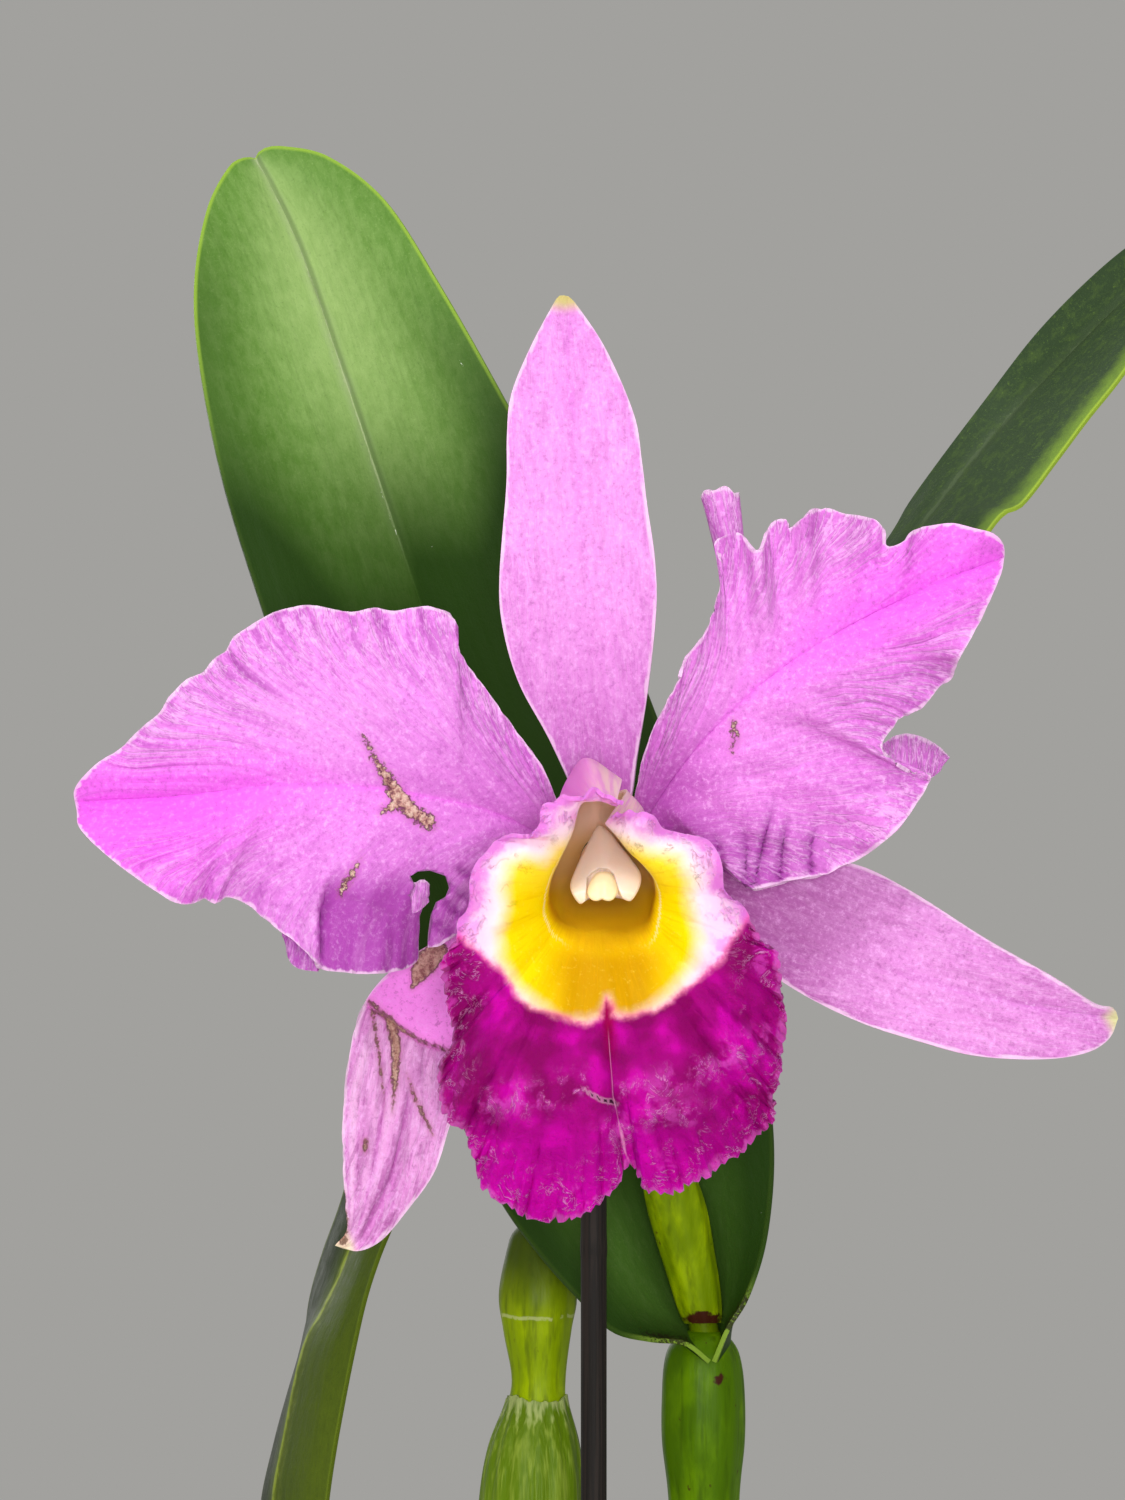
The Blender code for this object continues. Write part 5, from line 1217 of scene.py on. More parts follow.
# The hole torn through the left petal under its fold, across and up.
TEAR = [(-28.5, 0.0), (-27.4, 0.7), (-25.7, 0.8), (-23.4, 0.0), (-22.9, -1.8), (-23.4, -3.1),
        (-24.8, -3.9), (-25.6, -5.8), (-26.0, -8.4), (-26.2, -12.9), (-27.4, -12.9), (-27.4, -9.5),
        (-27.2, -7.6), (-27.2, -6.0), (-26.7, -4.6), (-27.9, -4.2), (-28.6, -2.8), (-27.8, -1.4)]


def cut_out(piece, outline, before=20.0, depth=40.0):
    """Cuts a drawn outline through a piece, from before the flower's plane to behind it."""
    select()
    bpy.ops.mesh.primitive_circle_add(vertices=len(outline), radius=1, fill_type="NGON")
    cutter = bpy.context.object
    front = seen([(x, z, before) for x, z in outline])
    for vertex, spot in zip(cutter.data.vertices, front):
        vertex.co = spot
    bpy.ops.object.mode_set(mode="EDIT")
    bpy.ops.mesh.select_all(action="SELECT")
    bpy.ops.mesh.extrude_region_move(TRANSFORM_OT_translate={"value": (0, depth * MM, 0)})
    bpy.ops.mesh.select_all(action="SELECT")
    bpy.ops.mesh.normals_make_consistent(inside=False)
    bpy.ops.object.mode_set(mode="OBJECT")
    cut(piece, cutter)


def loose_flap(name, cells, place_flap):
    """A small turned-back piece of a petal's margin. place_flap() gives across, up and forward."""
    def place(side, v):
        spot, shade, edge = place_flap(side, v)
        skin = np.stack([side * 7, v * 7, edge], axis=1)
        flat = 0 * v
        return seen(spot), {"skin": skin, "tint": np.stack([flat, 0.2 + flat, shade], axis=1),
                            "mark": np.stack([flat + NO_MARK, flat, flat], axis=1)}
    piece = sheet(name, *cells, place)
    thicken(piece, PETAL_THICKNESS)
    return piece


def rolled_flap(side, v):
    """The lobe of the right petal's top margin that stands up, rolled like a paper cone."""
    turn = math.radians(165) * side * (0.8 + 0.2 * v) + math.radians(25)
    radius = 1.8 + 0.7 * v
    x = 18.1 - 1.7 * v + radius * np.sin(turn)
    z = 45.4 + 10.2 * v + 0.5 * v ** 3 * np.cos(2 * turn) + 0.3 * v ** 4 * np.sin(5 * turn)
    f = -1.5 + 0.5 * v + 0.8 * radius * np.cos(turn)
    edge = np.minimum(9 * (1 - v), 6 * (1 - np.abs(side)))
    shade = 0.55 * ease(v, 0.8, 0.2) * ease(side, 0.5, -0.3) + 0.5 * ease(side, -0.1, -0.5)
    return np.stack([x, z, f], axis=1), shade, edge


# The flaps that lie loose on a petal: the two long edges of each, across, up and forward.
FLAP_RIGHT = {"top": [(38.9, 18.6, -0.6), (40.8, 20.1, -1.4), (42.6, 20.8, -2.4), (45, 20.4, -3.2),
                      (47.4, 19.1, -3.8), (49.1, 17.4, -4.2)],
              "foot": [(39.4, 17.9, 0.4), (40.6, 16.4, 0.6), (42.4, 15.1, 0.2), (44.4, 14.2, -0.4),
                       (46, 14.4, -1.4), (47.6, 15.6, -2.6)]}
FLAP_LEFT = {"top": [(-46.6, -6.6, -2.6), (-44.8, -7.6, -2.2), (-43.0, -8.8, -1.6), (-41.0, -10.2, -0.6)],
             "foot": [(-45.4, -8.8, -2.0), (-45.1, -11.0, -1.4), (-43.9, -12.5, -0.6),
                      (-41.0, -13.0, 0.4)]}
TORN_BIT = {"top": [(-28.4, -0.2, 0.6), (-27.2, -0.4, 1.0), (-26.0, 0.0, 0.8), (-25.1, -0.9, 0.2)],
            "foot": [(-28.6, -3.4, 1.2), (-27.9, -4.6, 1.2), (-26.8, -4.4, 1.4), (-25.3, -3.0, 1.0)]}


def flat_flap(lines, shade):
    """A loose flap between two drawn lines."""
    def place_flap(side, v):
        u = (side + 1) / 2
        top = smooth_line(lines["top"], u)
        foot = smooth_line(lines["foot"], u)
        spot = foot * (1 - v)[:, None] + top * v[:, None]
        spot[:, 2] += 0.6 * np.sin(np.pi * v) + 0.2 * ripple(u * 4.0) * v
        return spot, shade + 0 * v, np.minimum(5 * (1 - v), 5 * v + 0.4)
    return place_flap


def petals(skins):
    """The two broad petals, the left one torn and the right one with its rolled and folded flaps."""
    left = blade("petal_left", PETAL_LEFT, (130, 150), petal_left_relief)
    thicken(left, PETAL_THICKNESS)
    cut_out(left, TEAR)
    join(left, loose_flap("left_flap", (30, 18), flat_flap(FLAP_LEFT, 0.75)),
         loose_flap("torn_bit", (20, 16), flat_flap(TORN_BIT, 0.0)))
    dress(left, "petal_left", "petal", skins[0])
    right = blade("petal_right", PETAL_RIGHT, (130, 160), petal_right_relief)
    thicken(right, PETAL_THICKNESS)
    join(right, loose_flap("rolled_flap", (56, 34), rolled_flap),
         loose_flap("right_flap", (44, 22), flat_flap(FLAP_RIGHT, 0.35)))
    dress(right, "petal_right", "petal", skins[1])


def sepals(skins):
    """The three narrow sepals behind the petals."""
    rows = [("dorsal_sepal", SEPAL_TOP, sepal_relief),
            ("lateral_sepal_right", SEPAL_RIGHT, sepal_relief),
            ("lateral_sepal_left", SEPAL_LEFT, sepal_left_relief)]
    for (name, outline, relief), skin in zip(rows, skins):
        piece = blade(name, outline, (64, 130), relief, lengthwise=True)
        thicken(piece, PETAL_THICKNESS)
        dress(piece, name, "sepal", skin)


def lip(skins):
    """The lip: a tube that wraps the column, opens at its mouth and spreads to a frilled margin."""
    columns, rows = 440, 84
    fractions = np.linspace(0, 1, columns + 1)
    rings = matched_lines([LIP_THROAT, LIP_HOOD, LIP_RIM, LIP_MARGIN], LIP_MEET, fractions)
    turn = 0.1 - (math.tau + 0.2) * fractions
    radius = LIP_FOOT_RADIUS + 0.4 - 0.8 * fractions
    foot = np.stack([LIP_FOOT[0] + radius * np.sin(turn), LIP_FOOT[1] + radius * np.cos(turn),
                     np.full(columns + 1, LIP_FOOT[2])], axis=1)
    throat, hood, rim, margin = rings
    spread = np.linalg.norm(margin - rim, axis=1)
    middle = (rim + margin) / 2
    middle[:, 2] += LIP_SWELL * spread
    stations = np.array([foot, throat, hood, rim, middle, margin])
    steps = np.linspace(0, 1, rows + 1)
    reach = np.array([smooth_line(stations[:, k], steps) for k in range(columns + 1)])
    runs = np.array([np.linalg.norm(np.diff(reach[k], axis=0), axis=1).sum() for k in range(columns + 1)])
    # The share of each fold's length that lies inside the mouth.
    mouth = np.array([np.argmin(np.linalg.norm(reach[k] - rim[k], axis=1))
                      for k in range(columns + 1)]) / rows
    round_margin = lengths_along(margin)

    def place(side, v):
        k = np.rint((side + 1) / 2 * columns).astype(int)
        row = np.rint(v * rows).astype(int)
        spot = reach[k, row].copy()
        along, edge = v * runs[k], (1 - v) * runs[k]
        run = round_margin[k]
        inner = mouth[k]
        out = np.clip((v - inner) / (1 - inner), 0, 1)
        open_ = np.minimum(1.0, spread[k] / 9)
        x, z = spot[:, 0], spot[:, 1]
        front = ease(inside(x, z, LIP_MAGENTA), -1.0, 3.0)
        frill = (1.4 * out ** 2 * np.sin(math.tau * 12 * fractions[k]) * open_ * (0.6 + 0.4 * front)
                 + 0.9 * out ** 3 * open_ * ripple(run / 4.3, 0.3) * (0.15 + 0.85 * front)
                 + 0.5 * out ** 4 * open_ * ripple(run / 1.9, 0.8) * (0.15 + 0.85 * front))
        groove, _ = from_line(x, z, LIP_GROOVE)
        crease = -1.1 * np.exp(-(groove / 1.3) ** 2) * ease(z, -14, -20) * ease(edge, 0.5, 5)
        wave = run / 3.3 + 0.6 * np.sin(along / 2.9) + 0.5 * np.sin(run / 7.1)
        pucker = 0.35 * front * ripple(wave, 0.5) * ease(out, 0.55, 0.98)
        crack = inside_lines({"x": x, "z": z}, LIP_CRACK)
        spot[:, 1] += 0.5 * out ** 2 * ease(z, 6.5, 9.5) * ripple(run / 4.4, 0.2)
        fold = np.zeros(x.shape)
        for line in LIP_FOLDS:
            fold = np.maximum(fold, np.exp(-(from_line(x, z, line)[0] / 1.8) ** 2))
        fold = fold * front * ease(out, 0.1, 0.3)
        spot[:, 2] += frill + crease + pucker + 0.9 * fold - 0.5 * ease(crack, -0.1, 0.3)
        beyond = spot[:, 2] - LIP_FRONT
        spot[:, 2] = np.where(beyond > 0, LIP_FRONT + 1.8 * np.tanh(beyond / 1.8), spot[:, 2])
        teeth = 0.8 * front * ease(out, 0.9, 1.0) * ripple(run / 1.7, 0.1)
        outward = margin[k] - rim[k]
        outward /= np.linalg.norm(outward, axis=1)[:, None] + 1e-9
        spot += outward * np.minimum(teeth, 0.12)[:, None]
        depth = np.clip((inner - v) / np.maximum(inner, 0.1), 0, 1)
        zone = np.stack([inside(x, z, LIP_YELLOW), inside(x, z, LIP_MAGENTA), depth], axis=1)
        skin = np.stack([run, along, edge], axis=1)
        drawn = np.where(out > 0, 1.0, 99.0)
        mark = np.stack([np.abs(groove) * drawn + ease(z, -17.0, -16.0) * 9, crack - 99 * (out <= 0),
                         np.abs(v - inner) * runs[k]], axis=1)
        return seen(spot), {"skin": skin, "zone": zone, "mark": mark, "fold": fold}

    piece = sheet("lip", columns, rows, place)
    face_front(piece)
    for skin in skins:
        piece.data.materials.append(skin)
    thicken(piece, LIP_THICKNESS, back=1)
    dress(piece, "lip", "lip")


# The column's front outline from below, up its left side and down its right, across and up.
COLUMN_FRONT = [(-0.2, -2.5), (-1.6, -2.6), (-2.7, -2.9), (-3.6, -3.4), (-4.6, -2.2), (-5.0, -0.6),
                (-4.2, 1.7), (-3.1, 4.0), (-2.1, 6.1), (-0.9, 7.8), (0.7, 6.8), (2.1, 5.0),
                (3.7, 3.0), (5.0, 1.1), (5.1, -0.4), (4.5, -1.9), (3.6, -3.0), (2.5, -2.7),
                (1.2, -2.5), (-0.2, -2.5)]
# The hollow under the cap, the column's foot and front end, and the stalk's share of its length.
ANTHER_BED = [(-1.9, 1.1), (-0.9, 1.7), (0.3, 1.6), (1.2, 0.9), (1.8, -1.1), (2.4, -2.6), (2.3, -6),
              (-2.8, -6), (-2.7, -1.6), (-2.6, 0.4)]
COLUMN_FOOT = (-0.5, 3.0, -14.2)
COLUMN_RADIUS = 3.0
COLUMN_END = (-0.2, -1.0, 23.6)
STALK_SHARE = 0.6


def column(skin):
    """The column: a rounded stalk that widens to two side wings, its back sloping down to the
    hollow that holds the anther cap."""
    def place(side, v):
        rim_x, rim_z = smooth_line(COLUMN_FRONT, (side + 1) / 2).T
        rim_f = 22.8 - 1.25 * np.maximum(0, rim_z + 2)
        turn = np.pi * side
        body = np.clip(v / STALK_SHARE, 0, 1)
        face = np.clip((v - STALK_SHARE) / (1 - STALK_SHARE), 0, 1)
        reach = COLUMN_RADIUS * np.minimum(1, body / 0.03)
        wide = ease(body, 0.35, 1.0)
        x = (COLUMN_FOOT[0] + reach * np.sin(turn)) * (1 - wide) + rim_x * wide
        z = (COLUMN_FOOT[1] + reach * np.cos(turn)) * (1 - wide) + rim_z * wide
        f = COLUMN_FOOT[2] + (rim_f - COLUMN_FOOT[2]) * body
        x = x + (COLUMN_END[0] - x) * face
        z = z + (COLUMN_END[1] - z) * face
        f = f + (COLUMN_END[2] - f) * face + 0.9 * np.sin(np.pi * face) - 0.3 * ease(face, 0.05, 0)
        bed = ease(inside(x, z, ANTHER_BED), -0.12, 0.3) * (face > 0)
        return seen(np.stack([x, z, f - 1.9 * bed], axis=1)), {}
    piece = sheet("column", 112, 150, place)
    dress(piece, "column", "column", skin)


def anther_cap(skin):
    """The cap over the pollen: a small pillow, narrower above and lobed along its lower edge."""
    def place(side, v):
        rise = np.cos(np.pi * v)
        turn = np.pi * side
        ring = np.sin(np.pi * v)
        x = (2.05 - 0.6 * rise) * ring ** 0.6 * np.sin(turn)
        lobes = 0.28 * np.abs(np.sin(1.5 * x)) * ease(rise, 0.2, -0.9)
        groove = 0.25 * np.exp(-(x / 0.35) ** 2) * ease(rise, 0.4, -0.6)
        f = 23.4 + (1.35 * ring ** 0.7 - groove) * np.cos(turn) - 1.5 * rise
        return seen(np.stack([-0.35 + 0.1 * rise + x, -0.75 + 2.0 * rise - lobes, f], axis=1)), {}
    piece = sheet("anther_cap", 56, 44, place)
    dress(piece, "anther_cap", "anther", skin)


# Leaves and stems

# Dry scratches and brown spots on the front leaf, as across, up and half width.
LEAF_SCRATCHES = [[(-32.3, 56.2, 0.15), (-32.0, 54.6, 0.25), (-31.4, 53.6, 0.1)],
                  [(-31.0, 51.8, 0.2), (-30.2, 50.0, 0.2), (-29.6, 49.0, 0.1)],
                  [(-20.6, 74.0, 0.1), (-20.0, 73.2, 0.12)], [(-16.2, 61.8, 0.1), (-15.2, 63.0, 0.14)],
                  [(-24.6, 47.5, 0.1), (-23.6, 49.0, 0.1)], [(22.6, -47.9, 0.3), (22.9, -48.1, 0.2)]]
LEAF_DRIED = [[(21.6, -58.2, 0.3), (20.0, -60.6, 0.6), (17.8, -63.8, 0.6)],
              [(5.0, -64.9, 0.2), (8.4, -65.7, 0.5), (12.2, -66.1, 0.3)]]


def leaf_front_relief(facts):
    """The front leaf: crowned on both sides of its rib, with painted light above and painted shade down its
    flanks and over its lower part.
    """
    t, v, z, side = facts["t"], facts["v"], facts["z"], facts["side"]
    lift = 1.2 * np.sin(np.pi * t) * np.minimum(1.0, 5 * v) + 0.05 * ripple(side * 14.0)
    painted_light = np.exp(-((z - 86) / 31) ** 2) * np.exp(-((side - 0.05) / 0.55) ** 2)
    # Painted shade, lightened by painted light near the foot.
    low = (0.9 * ease(z, 72, 34) + 0.8 * ease(side, 0.4, 1.0) * ease(z, 92, 66)
           + 0.55 * ease(side, -0.35, -1.0) * ease(z, 102, 78)
           + 0.3 * ease(side, -0.02, 0.08) * ease(z, 72, 44)
           - 0.4 * ease(z, -10, -45) * ease(np.abs(side), 0.0, 0.6)
           - 0.45 * ease(side, 0.3, 0.9) * ease(z, 0, -40))
    rim = 0.05 + 0.95 * ease(z, 55, 85) + 0.8 * ease(v, 0.07, 0.03)
    mark = [inside_lines(facts, LEAF_SCRATCHES), inside_lines(facts, LEAF_DRIED), ease(z, 42, 72)]
    return lift, [0.9 * painted_light, np.clip(low, 0, 1), rim], mark


def clean_leaf(facts, painted_light, low, rim):
    """A leaf with no marks, crowned on both sides of its rib, with its painted light, its painted
    shade and how pale its rim is."""
    t, v, flat = facts["t"], facts["v"], 0 * facts["v"]
    lift = 1.6 * np.sin(np.pi * t) * np.sin(np.pi * np.minimum(1, v + 0.1))
    lift = lift + 0.05 * ripple(facts["side"] * 10.0)
    return lift, [painted_light, low, rim + flat], [flat + NO_MARK, flat + NO_MARK, flat + 1]


def leaf_right_relief(facts):
    """The right leaf: painted light and a pale rim along its right margin, painted shade toward its foot."""
    side, v = facts["side"], facts["v"]
    return clean_leaf(facts, 0.8 * ease(side, 0.72, 0.98), 0.5 * ease(v, 0.75, 0.5), ease(side, 0.0, 0.4))


def leaf_left_relief(facts):
    """The left leaf: painted shade on its left half and painted light on its right half, lower down."""
    side, v = facts["side"], facts["v"]
    painted_light = 0.5 * ease(side, -0.2, 0.9) * ease(v, 0.7, 0.2)
    return clean_leaf(facts, painted_light, 0.9 * ease(side, 0.0, -0.5), 0.35)


def leaves(skins):
    """The three thick leaves, each on its own bulb, thinner toward the margins."""
    rows = [("leaf_front", LEAF_FRONT, (72, 200), leaf_front_relief, 1.9),
            ("leaf_right", LEAF_RIGHT, (48, 150), leaf_right_relief, 1.5),
            ("leaf_left", LEAF_LEFT, (48, 110), leaf_left_relief, 1.5)]
    for (name, outline, cells, relief, clasp), skin in zip(rows, skins):
        piece = blade(name, outline, cells, relief, clasp, lengthwise=True)
        body = piece.vertex_groups.new(name="body")
        edge = np.empty(len(piece.data.vertices) * 3)
        piece.data.attributes["skin"].data.foreach_get("vector", edge)
        for k, weight in enumerate(ease(edge[2::3], 0, 6)):
            body.add([k], weight, "REPLACE")
        wall = piece.modifiers.new("Wall", "SOLIDIFY")
        wall.thickness = LEAF_THICKNESS * MM
        wall.offset = 0
        wall.vertex_group = "body"
        wall.thickness_vertex_group = 0.4
        apply_modifiers(piece)
        rounded = piece.modifiers.new("Soft edge", "BEVEL")
        rounded.width = LEAF_EDGE * MM
        rounded.segments = 2
        rounded.limit_method = "ANGLE"
        rounded.angle_limit = SHARP_EDGE
        apply_modifiers(piece)
        dress(piece, name, "leaf", skin)


def bulb_shape(turn, along):
    """Faint lengthways ribs on a bulb."""
    return 1 + 0.015 * np.sin(7 * turn + 0.01 * along) + 0.01 * np.sin(13 * turn)


def bulbs(skins, sheath_skin):
    """The swollen stems that carry the leaves, with the dry sheaths round their lower parts."""
    shapes = {"pseudobulb_front": (BULB_FRONT, BULB_FRONT_RADII),
              "pseudobulb_middle": (BULB_MIDDLE, BULB_MIDDLE_RADII),
              "pseudobulb_back": (BULB_BACK, BULB_BACK_RADII),
              "pseudobulb_old": (BULB_OLD, BULB_OLD_RADII)}
    for (bulb, shape), skin in zip(shapes.items(), skins):
        piece = stem(bulb, *shape, 48, 120, bulb_shape)
        dress(piece, bulb, "bulb", skin)
    sheaths = [("middle_sheath_upper", "pseudobulb_middle", 0.44, 0.785, 0.45),
               ("middle_sheath_lower", "pseudobulb_middle", 0.06, 0.50, 0.9),
               ("front_sheath", "pseudobulb_front", 0.05, 0.56, 0.5),
               ("back_sheath", "pseudobulb_back", 0.05, 0.5, 0.45)]
    for name, bulb, low, high, gap in sheaths:
        piece = wrapped_sheath(name, *shapes[bulb], low, high, gap)
        dress(piece, bulb, "stem", sheath_skin)


def wrapped_sheath(name, points, radii, low, high, gap):
    """A dry bract round a bulb from low to high along it and gap mm off its skin, its edges
    lapped and its top torn."""
    path = [tuple(p) + (r,) for p, r in zip(points, radii)]

    def place(side, v):
        turn = np.pi * (side * 1.04 + 0.6)
        torn = 0.004 * ripple(side * 1.6, 0.3) + 0.0015 * ripple(side * 9.0, 0.6)
        at = low + (high - low + torn) * v
        line = smooth_line(path, np.clip(at, 0, 1))
        ribs = 1 + 0.022 * np.sin(15 * turn) * ease(v, 0, 0.2)
        radius = line[:, 3] * ribs + gap * (1 - 0.6 * v ** 4) + 0.35 * np.abs(side) ** 8 * np.sign(side)
        x = line[:, 0] + radius * np.sin(turn)
        y = line[:, 1] + radius * np.cos(turn)
        return np.stack([x, y, line[:, 2]], axis=1) * MM, {}
    piece = sheet(name, 96, 44, place)
    thicken(piece, BULB_SHEATH_THICKNESS)
    return piece


def stems(stem_skin, sheath_skin, rhizome_skin, root_skin, stake_skin):
    """The flower stem and its bract, the rhizome, the roots and the stake."""
    piece = stem("flower_stem", in_millimetres(PEDUNCLE), PEDUNCLE_RADII, 32, 120)
    dress(piece, "flower_stem", "stem", stem_skin)
    path = [p + (r,) for p, r in zip(FLOWER_SHEATH, FLOWER_SHEATH_RADII)]

    def place(side, v):
        x, z, f, radius = smooth_line(path, v).T
        turn = np.pi * side
        torn = 2.0 * v ** 6 * np.sin(3 * turn + 0.5) + 0.4 * v ** 8 * ripple(side * 4)
        radius = radius * (1 + 0.025 * np.sin(9 * turn))
        return seen(np.stack([x + radius * np.sin(turn), z + torn, f + radius * np.cos(turn)], axis=1)), {}
    piece = sheet("flower_sheath", 64, 40, place)
    thicken(piece, SHEATH_THICKNESS)
    dress(piece, "flower_sheath", "stem", sheath_skin)

    def knuckles(turn, along):
        return 1 + 0.07 * np.sin(math.tau * along / 7.0) + 0.04 * np.sin(5 * turn + along)
    piece = stem("rhizome", RHIZOME, RHIZOME_RADII, 36, 160, knuckles)
    dress(piece, "rhizome", "rhizome", rhizome_skin)

    def lumpy(turn, along):
        return 1 + 0.04 * np.sin(along / 3.1 + turn) + 0.03 * np.sin(along / 1.3 + 2 * turn)
    for k, points in enumerate(ROOTS, 1):
        radii = [ROOT_RADIUS] * (len(points) - 1) + [ROOT_RADIUS * 0.6]
        piece = stem(f"root_{k}", points, radii, 20, 110, lumpy)
        dress(piece, f"root_{k}", "root", root_skin)
    x, y, z = in_millimetres([STAKE_TOP])[0]

    def joints(_, along):
        return 0.96 + 0.06 * np.exp(-((along % CANE_JOINTS - CANE_FIRST_JOINT) / 1.1) ** 2)
    line = [(x, y, STAKE_FOOT), (x, y, BARK_LEVEL), (x, y, z)]
    piece = stem("stake", line, [STAKE_RADIUS] * 3, 24, 180, joints)
    dress(piece, "stake", "stake", stake_skin)


# Pot and bark

def pot(skin):
    """The clay pot: turned on a wheel, with a deep rim band, a footed base and drain holes."""
    foot, rim, top = POT_FOOT_RADIUS, POT_RIM_RADIUS, POT_HEIGHT
    rim_foot = top - POT_RIM_DEPTH
    inner = foot - POT_WALL
    profile = [(0, 0.4), (foot - 3, 0.4), (foot - 2.4, 0), (foot - 0.8, 0), (foot, 0.8), (foot + 0.6, 3),
               (rim - 5.4, rim_foot - 3), (rim - 4.9, rim_foot - 0.8), (rim - 3.4, rim_foot - 0.1),
               (rim - 1.9, rim_foot + 0.7), (rim - 1.4, rim_foot + 2.4), (rim - 0.5, rim_foot + 13),
               (rim, top - 3.2), (rim - 0.1, top - 1.4), (rim - 1.3, top), (rim - 3.6, top - 0.1),
               (rim - 5.6, top - 1.2), (rim - 6.2, top - 4), (inner + 1.5, POT_FLOOR + 4),
               (inner - 1, POT_FLOOR + 0.6), (inner - 5, POT_FLOOR), (0, POT_FLOOR)]
    corners = np.array(profile, float)
    lengths = lengths_along(corners)
    rows = []
    for a, b, span in zip(lengths[:-1], lengths[1:], np.diff(lengths)):
        rows += list(np.linspace(a, b, max(2, round(span / 3.0)), endpoint=False))
    rows = np.array(rows + [lengths[-1]])

    def place(side, v):
        at = rows[np.rint(v * (len(rows) - 1)).astype(int)]
        radius = np.interp(at, lengths, corners[:, 0])
        z = np.interp(at, lengths, corners[:, 1])
        turn = np.pi * side
        wobble = 1 - 0.002 * (1 + np.sin(3 * turn + 0.06 * z)) * ease(radius, 10, 40)
        wheel = 0.12 * (np.sin(z * 1.15) - 1) * ease(radius, foot - 4, foot)
        radius = radius * wobble + np.where((z > 4) & (z < rim_foot - 4), wheel, 0)
        return np.stack([radius * np.sin(turn), -radius * np.cos(turn), z], axis=1) * MM, {}
    piece = sheet("pot", 160, len(rows) - 1, place)
    for k in range(DRAIN_HOLES):
        turn = math.tau * (k + 0.5) / DRAIN_HOLES
        spot = Vector((math.cos(turn) * DRAIN_RING, math.sin(turn) * DRAIN_RING, 0)) * MM
        select()
        bpy.ops.mesh.primitive_cylinder_add(vertices=40, radius=DRAIN_RADIUS * MM, depth=4 * POT_FLOOR * MM,
                                            location=spot)
        cut(piece, bpy.context.object)
    dress(piece, "pot", "clay", skin)


def bark_bed(skin):
    """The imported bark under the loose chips, up to the pot's wall."""
    slope = (POT_RIM_RADIUS - 1 - POT_FOOT_RADIUS) / (POT_HEIGHT - 1 - POT_FLOOR)
    low = POT_FOOT_RADIUS - POT_WALL - 0.6
    top = BARK_LEVEL - 1.5
    high = low + slope * (top - POT_FLOOR)

    def place(side, v):
        z = np.interp(v, [0, 0.2, 0.5, 1], [POT_FLOOR + 0.4, POT_FLOOR + 0.4, top, top])
        radius = np.interp(v, [0, 0.2, 0.5, 1], [0, low, high, 0])
        turn = np.pi * side
        x, y = radius * np.sin(turn), -radius * np.cos(turn)
        lumps = 1.1 * ripple(x / 8.0, 0.2) * ripple(y / 9.0, 0.5) + 0.4 * ripple((x + y) / 3.1)
        z = z + np.where(v > 0.5, lumps * ease(high - radius, 0, 4), 0)
        return np.stack([x, y, z], axis=1) * MM, {}
    piece = sheet("bark_bed", 72, 80, place)
    dress(piece, "bark_medium", "bark", skin)


def chip(name, pick):
    """One bark chip: a block broken by hand, its edges worn and its faces torn in layers."""
    select()
    bpy.ops.mesh.primitive_cube_add(size=1)
    made = bpy.context.object
    made.name = name
    bpy.ops.object.mode_set(mode="EDIT")
    bpy.ops.mesh.select_all(action="SELECT")
    bpy.ops.mesh.subdivide(number_cuts=3)
    bpy.ops.object.mode_set(mode="OBJECT")
    bend = [pick.uniform(-1, 1) for _ in range(6)]
    for vertex in made.data.vertices:
        x, y, z = vertex.co
        round_off = 1 - 0.35 * (abs(x) * abs(y) * 4) ** 2
        torn = 0.10 * math.sin(9 * x + 4 * bend[0]) + 0.07 * math.sin(13 * y + 5 * bend[1] + 7 * z)
        vertex.co = Vector((x * round_off * (1 + 0.25 * bend[2] * y) + 0.05 * math.sin(17 * y),
                            y * round_off * (1 + 0.25 * bend[3] * x) + 0.06 * math.sin(11 * x + bend[4]),
                            z * (0.9 + torn) + 0.22 * bend[5] * x * x + 0.05 * torn))
    return made


# How many chips are strewn and how far out, the circle that each chip stays in, and how near to
# a stem a chip may lie, in mm.
CHIPS = 250
CHIPS_SPREAD = 52.0
CHIPS_LIMIT = 57.5
CHIPS_CLEAR = 1.5
GOLDEN_TURN = math.radians(137.5)


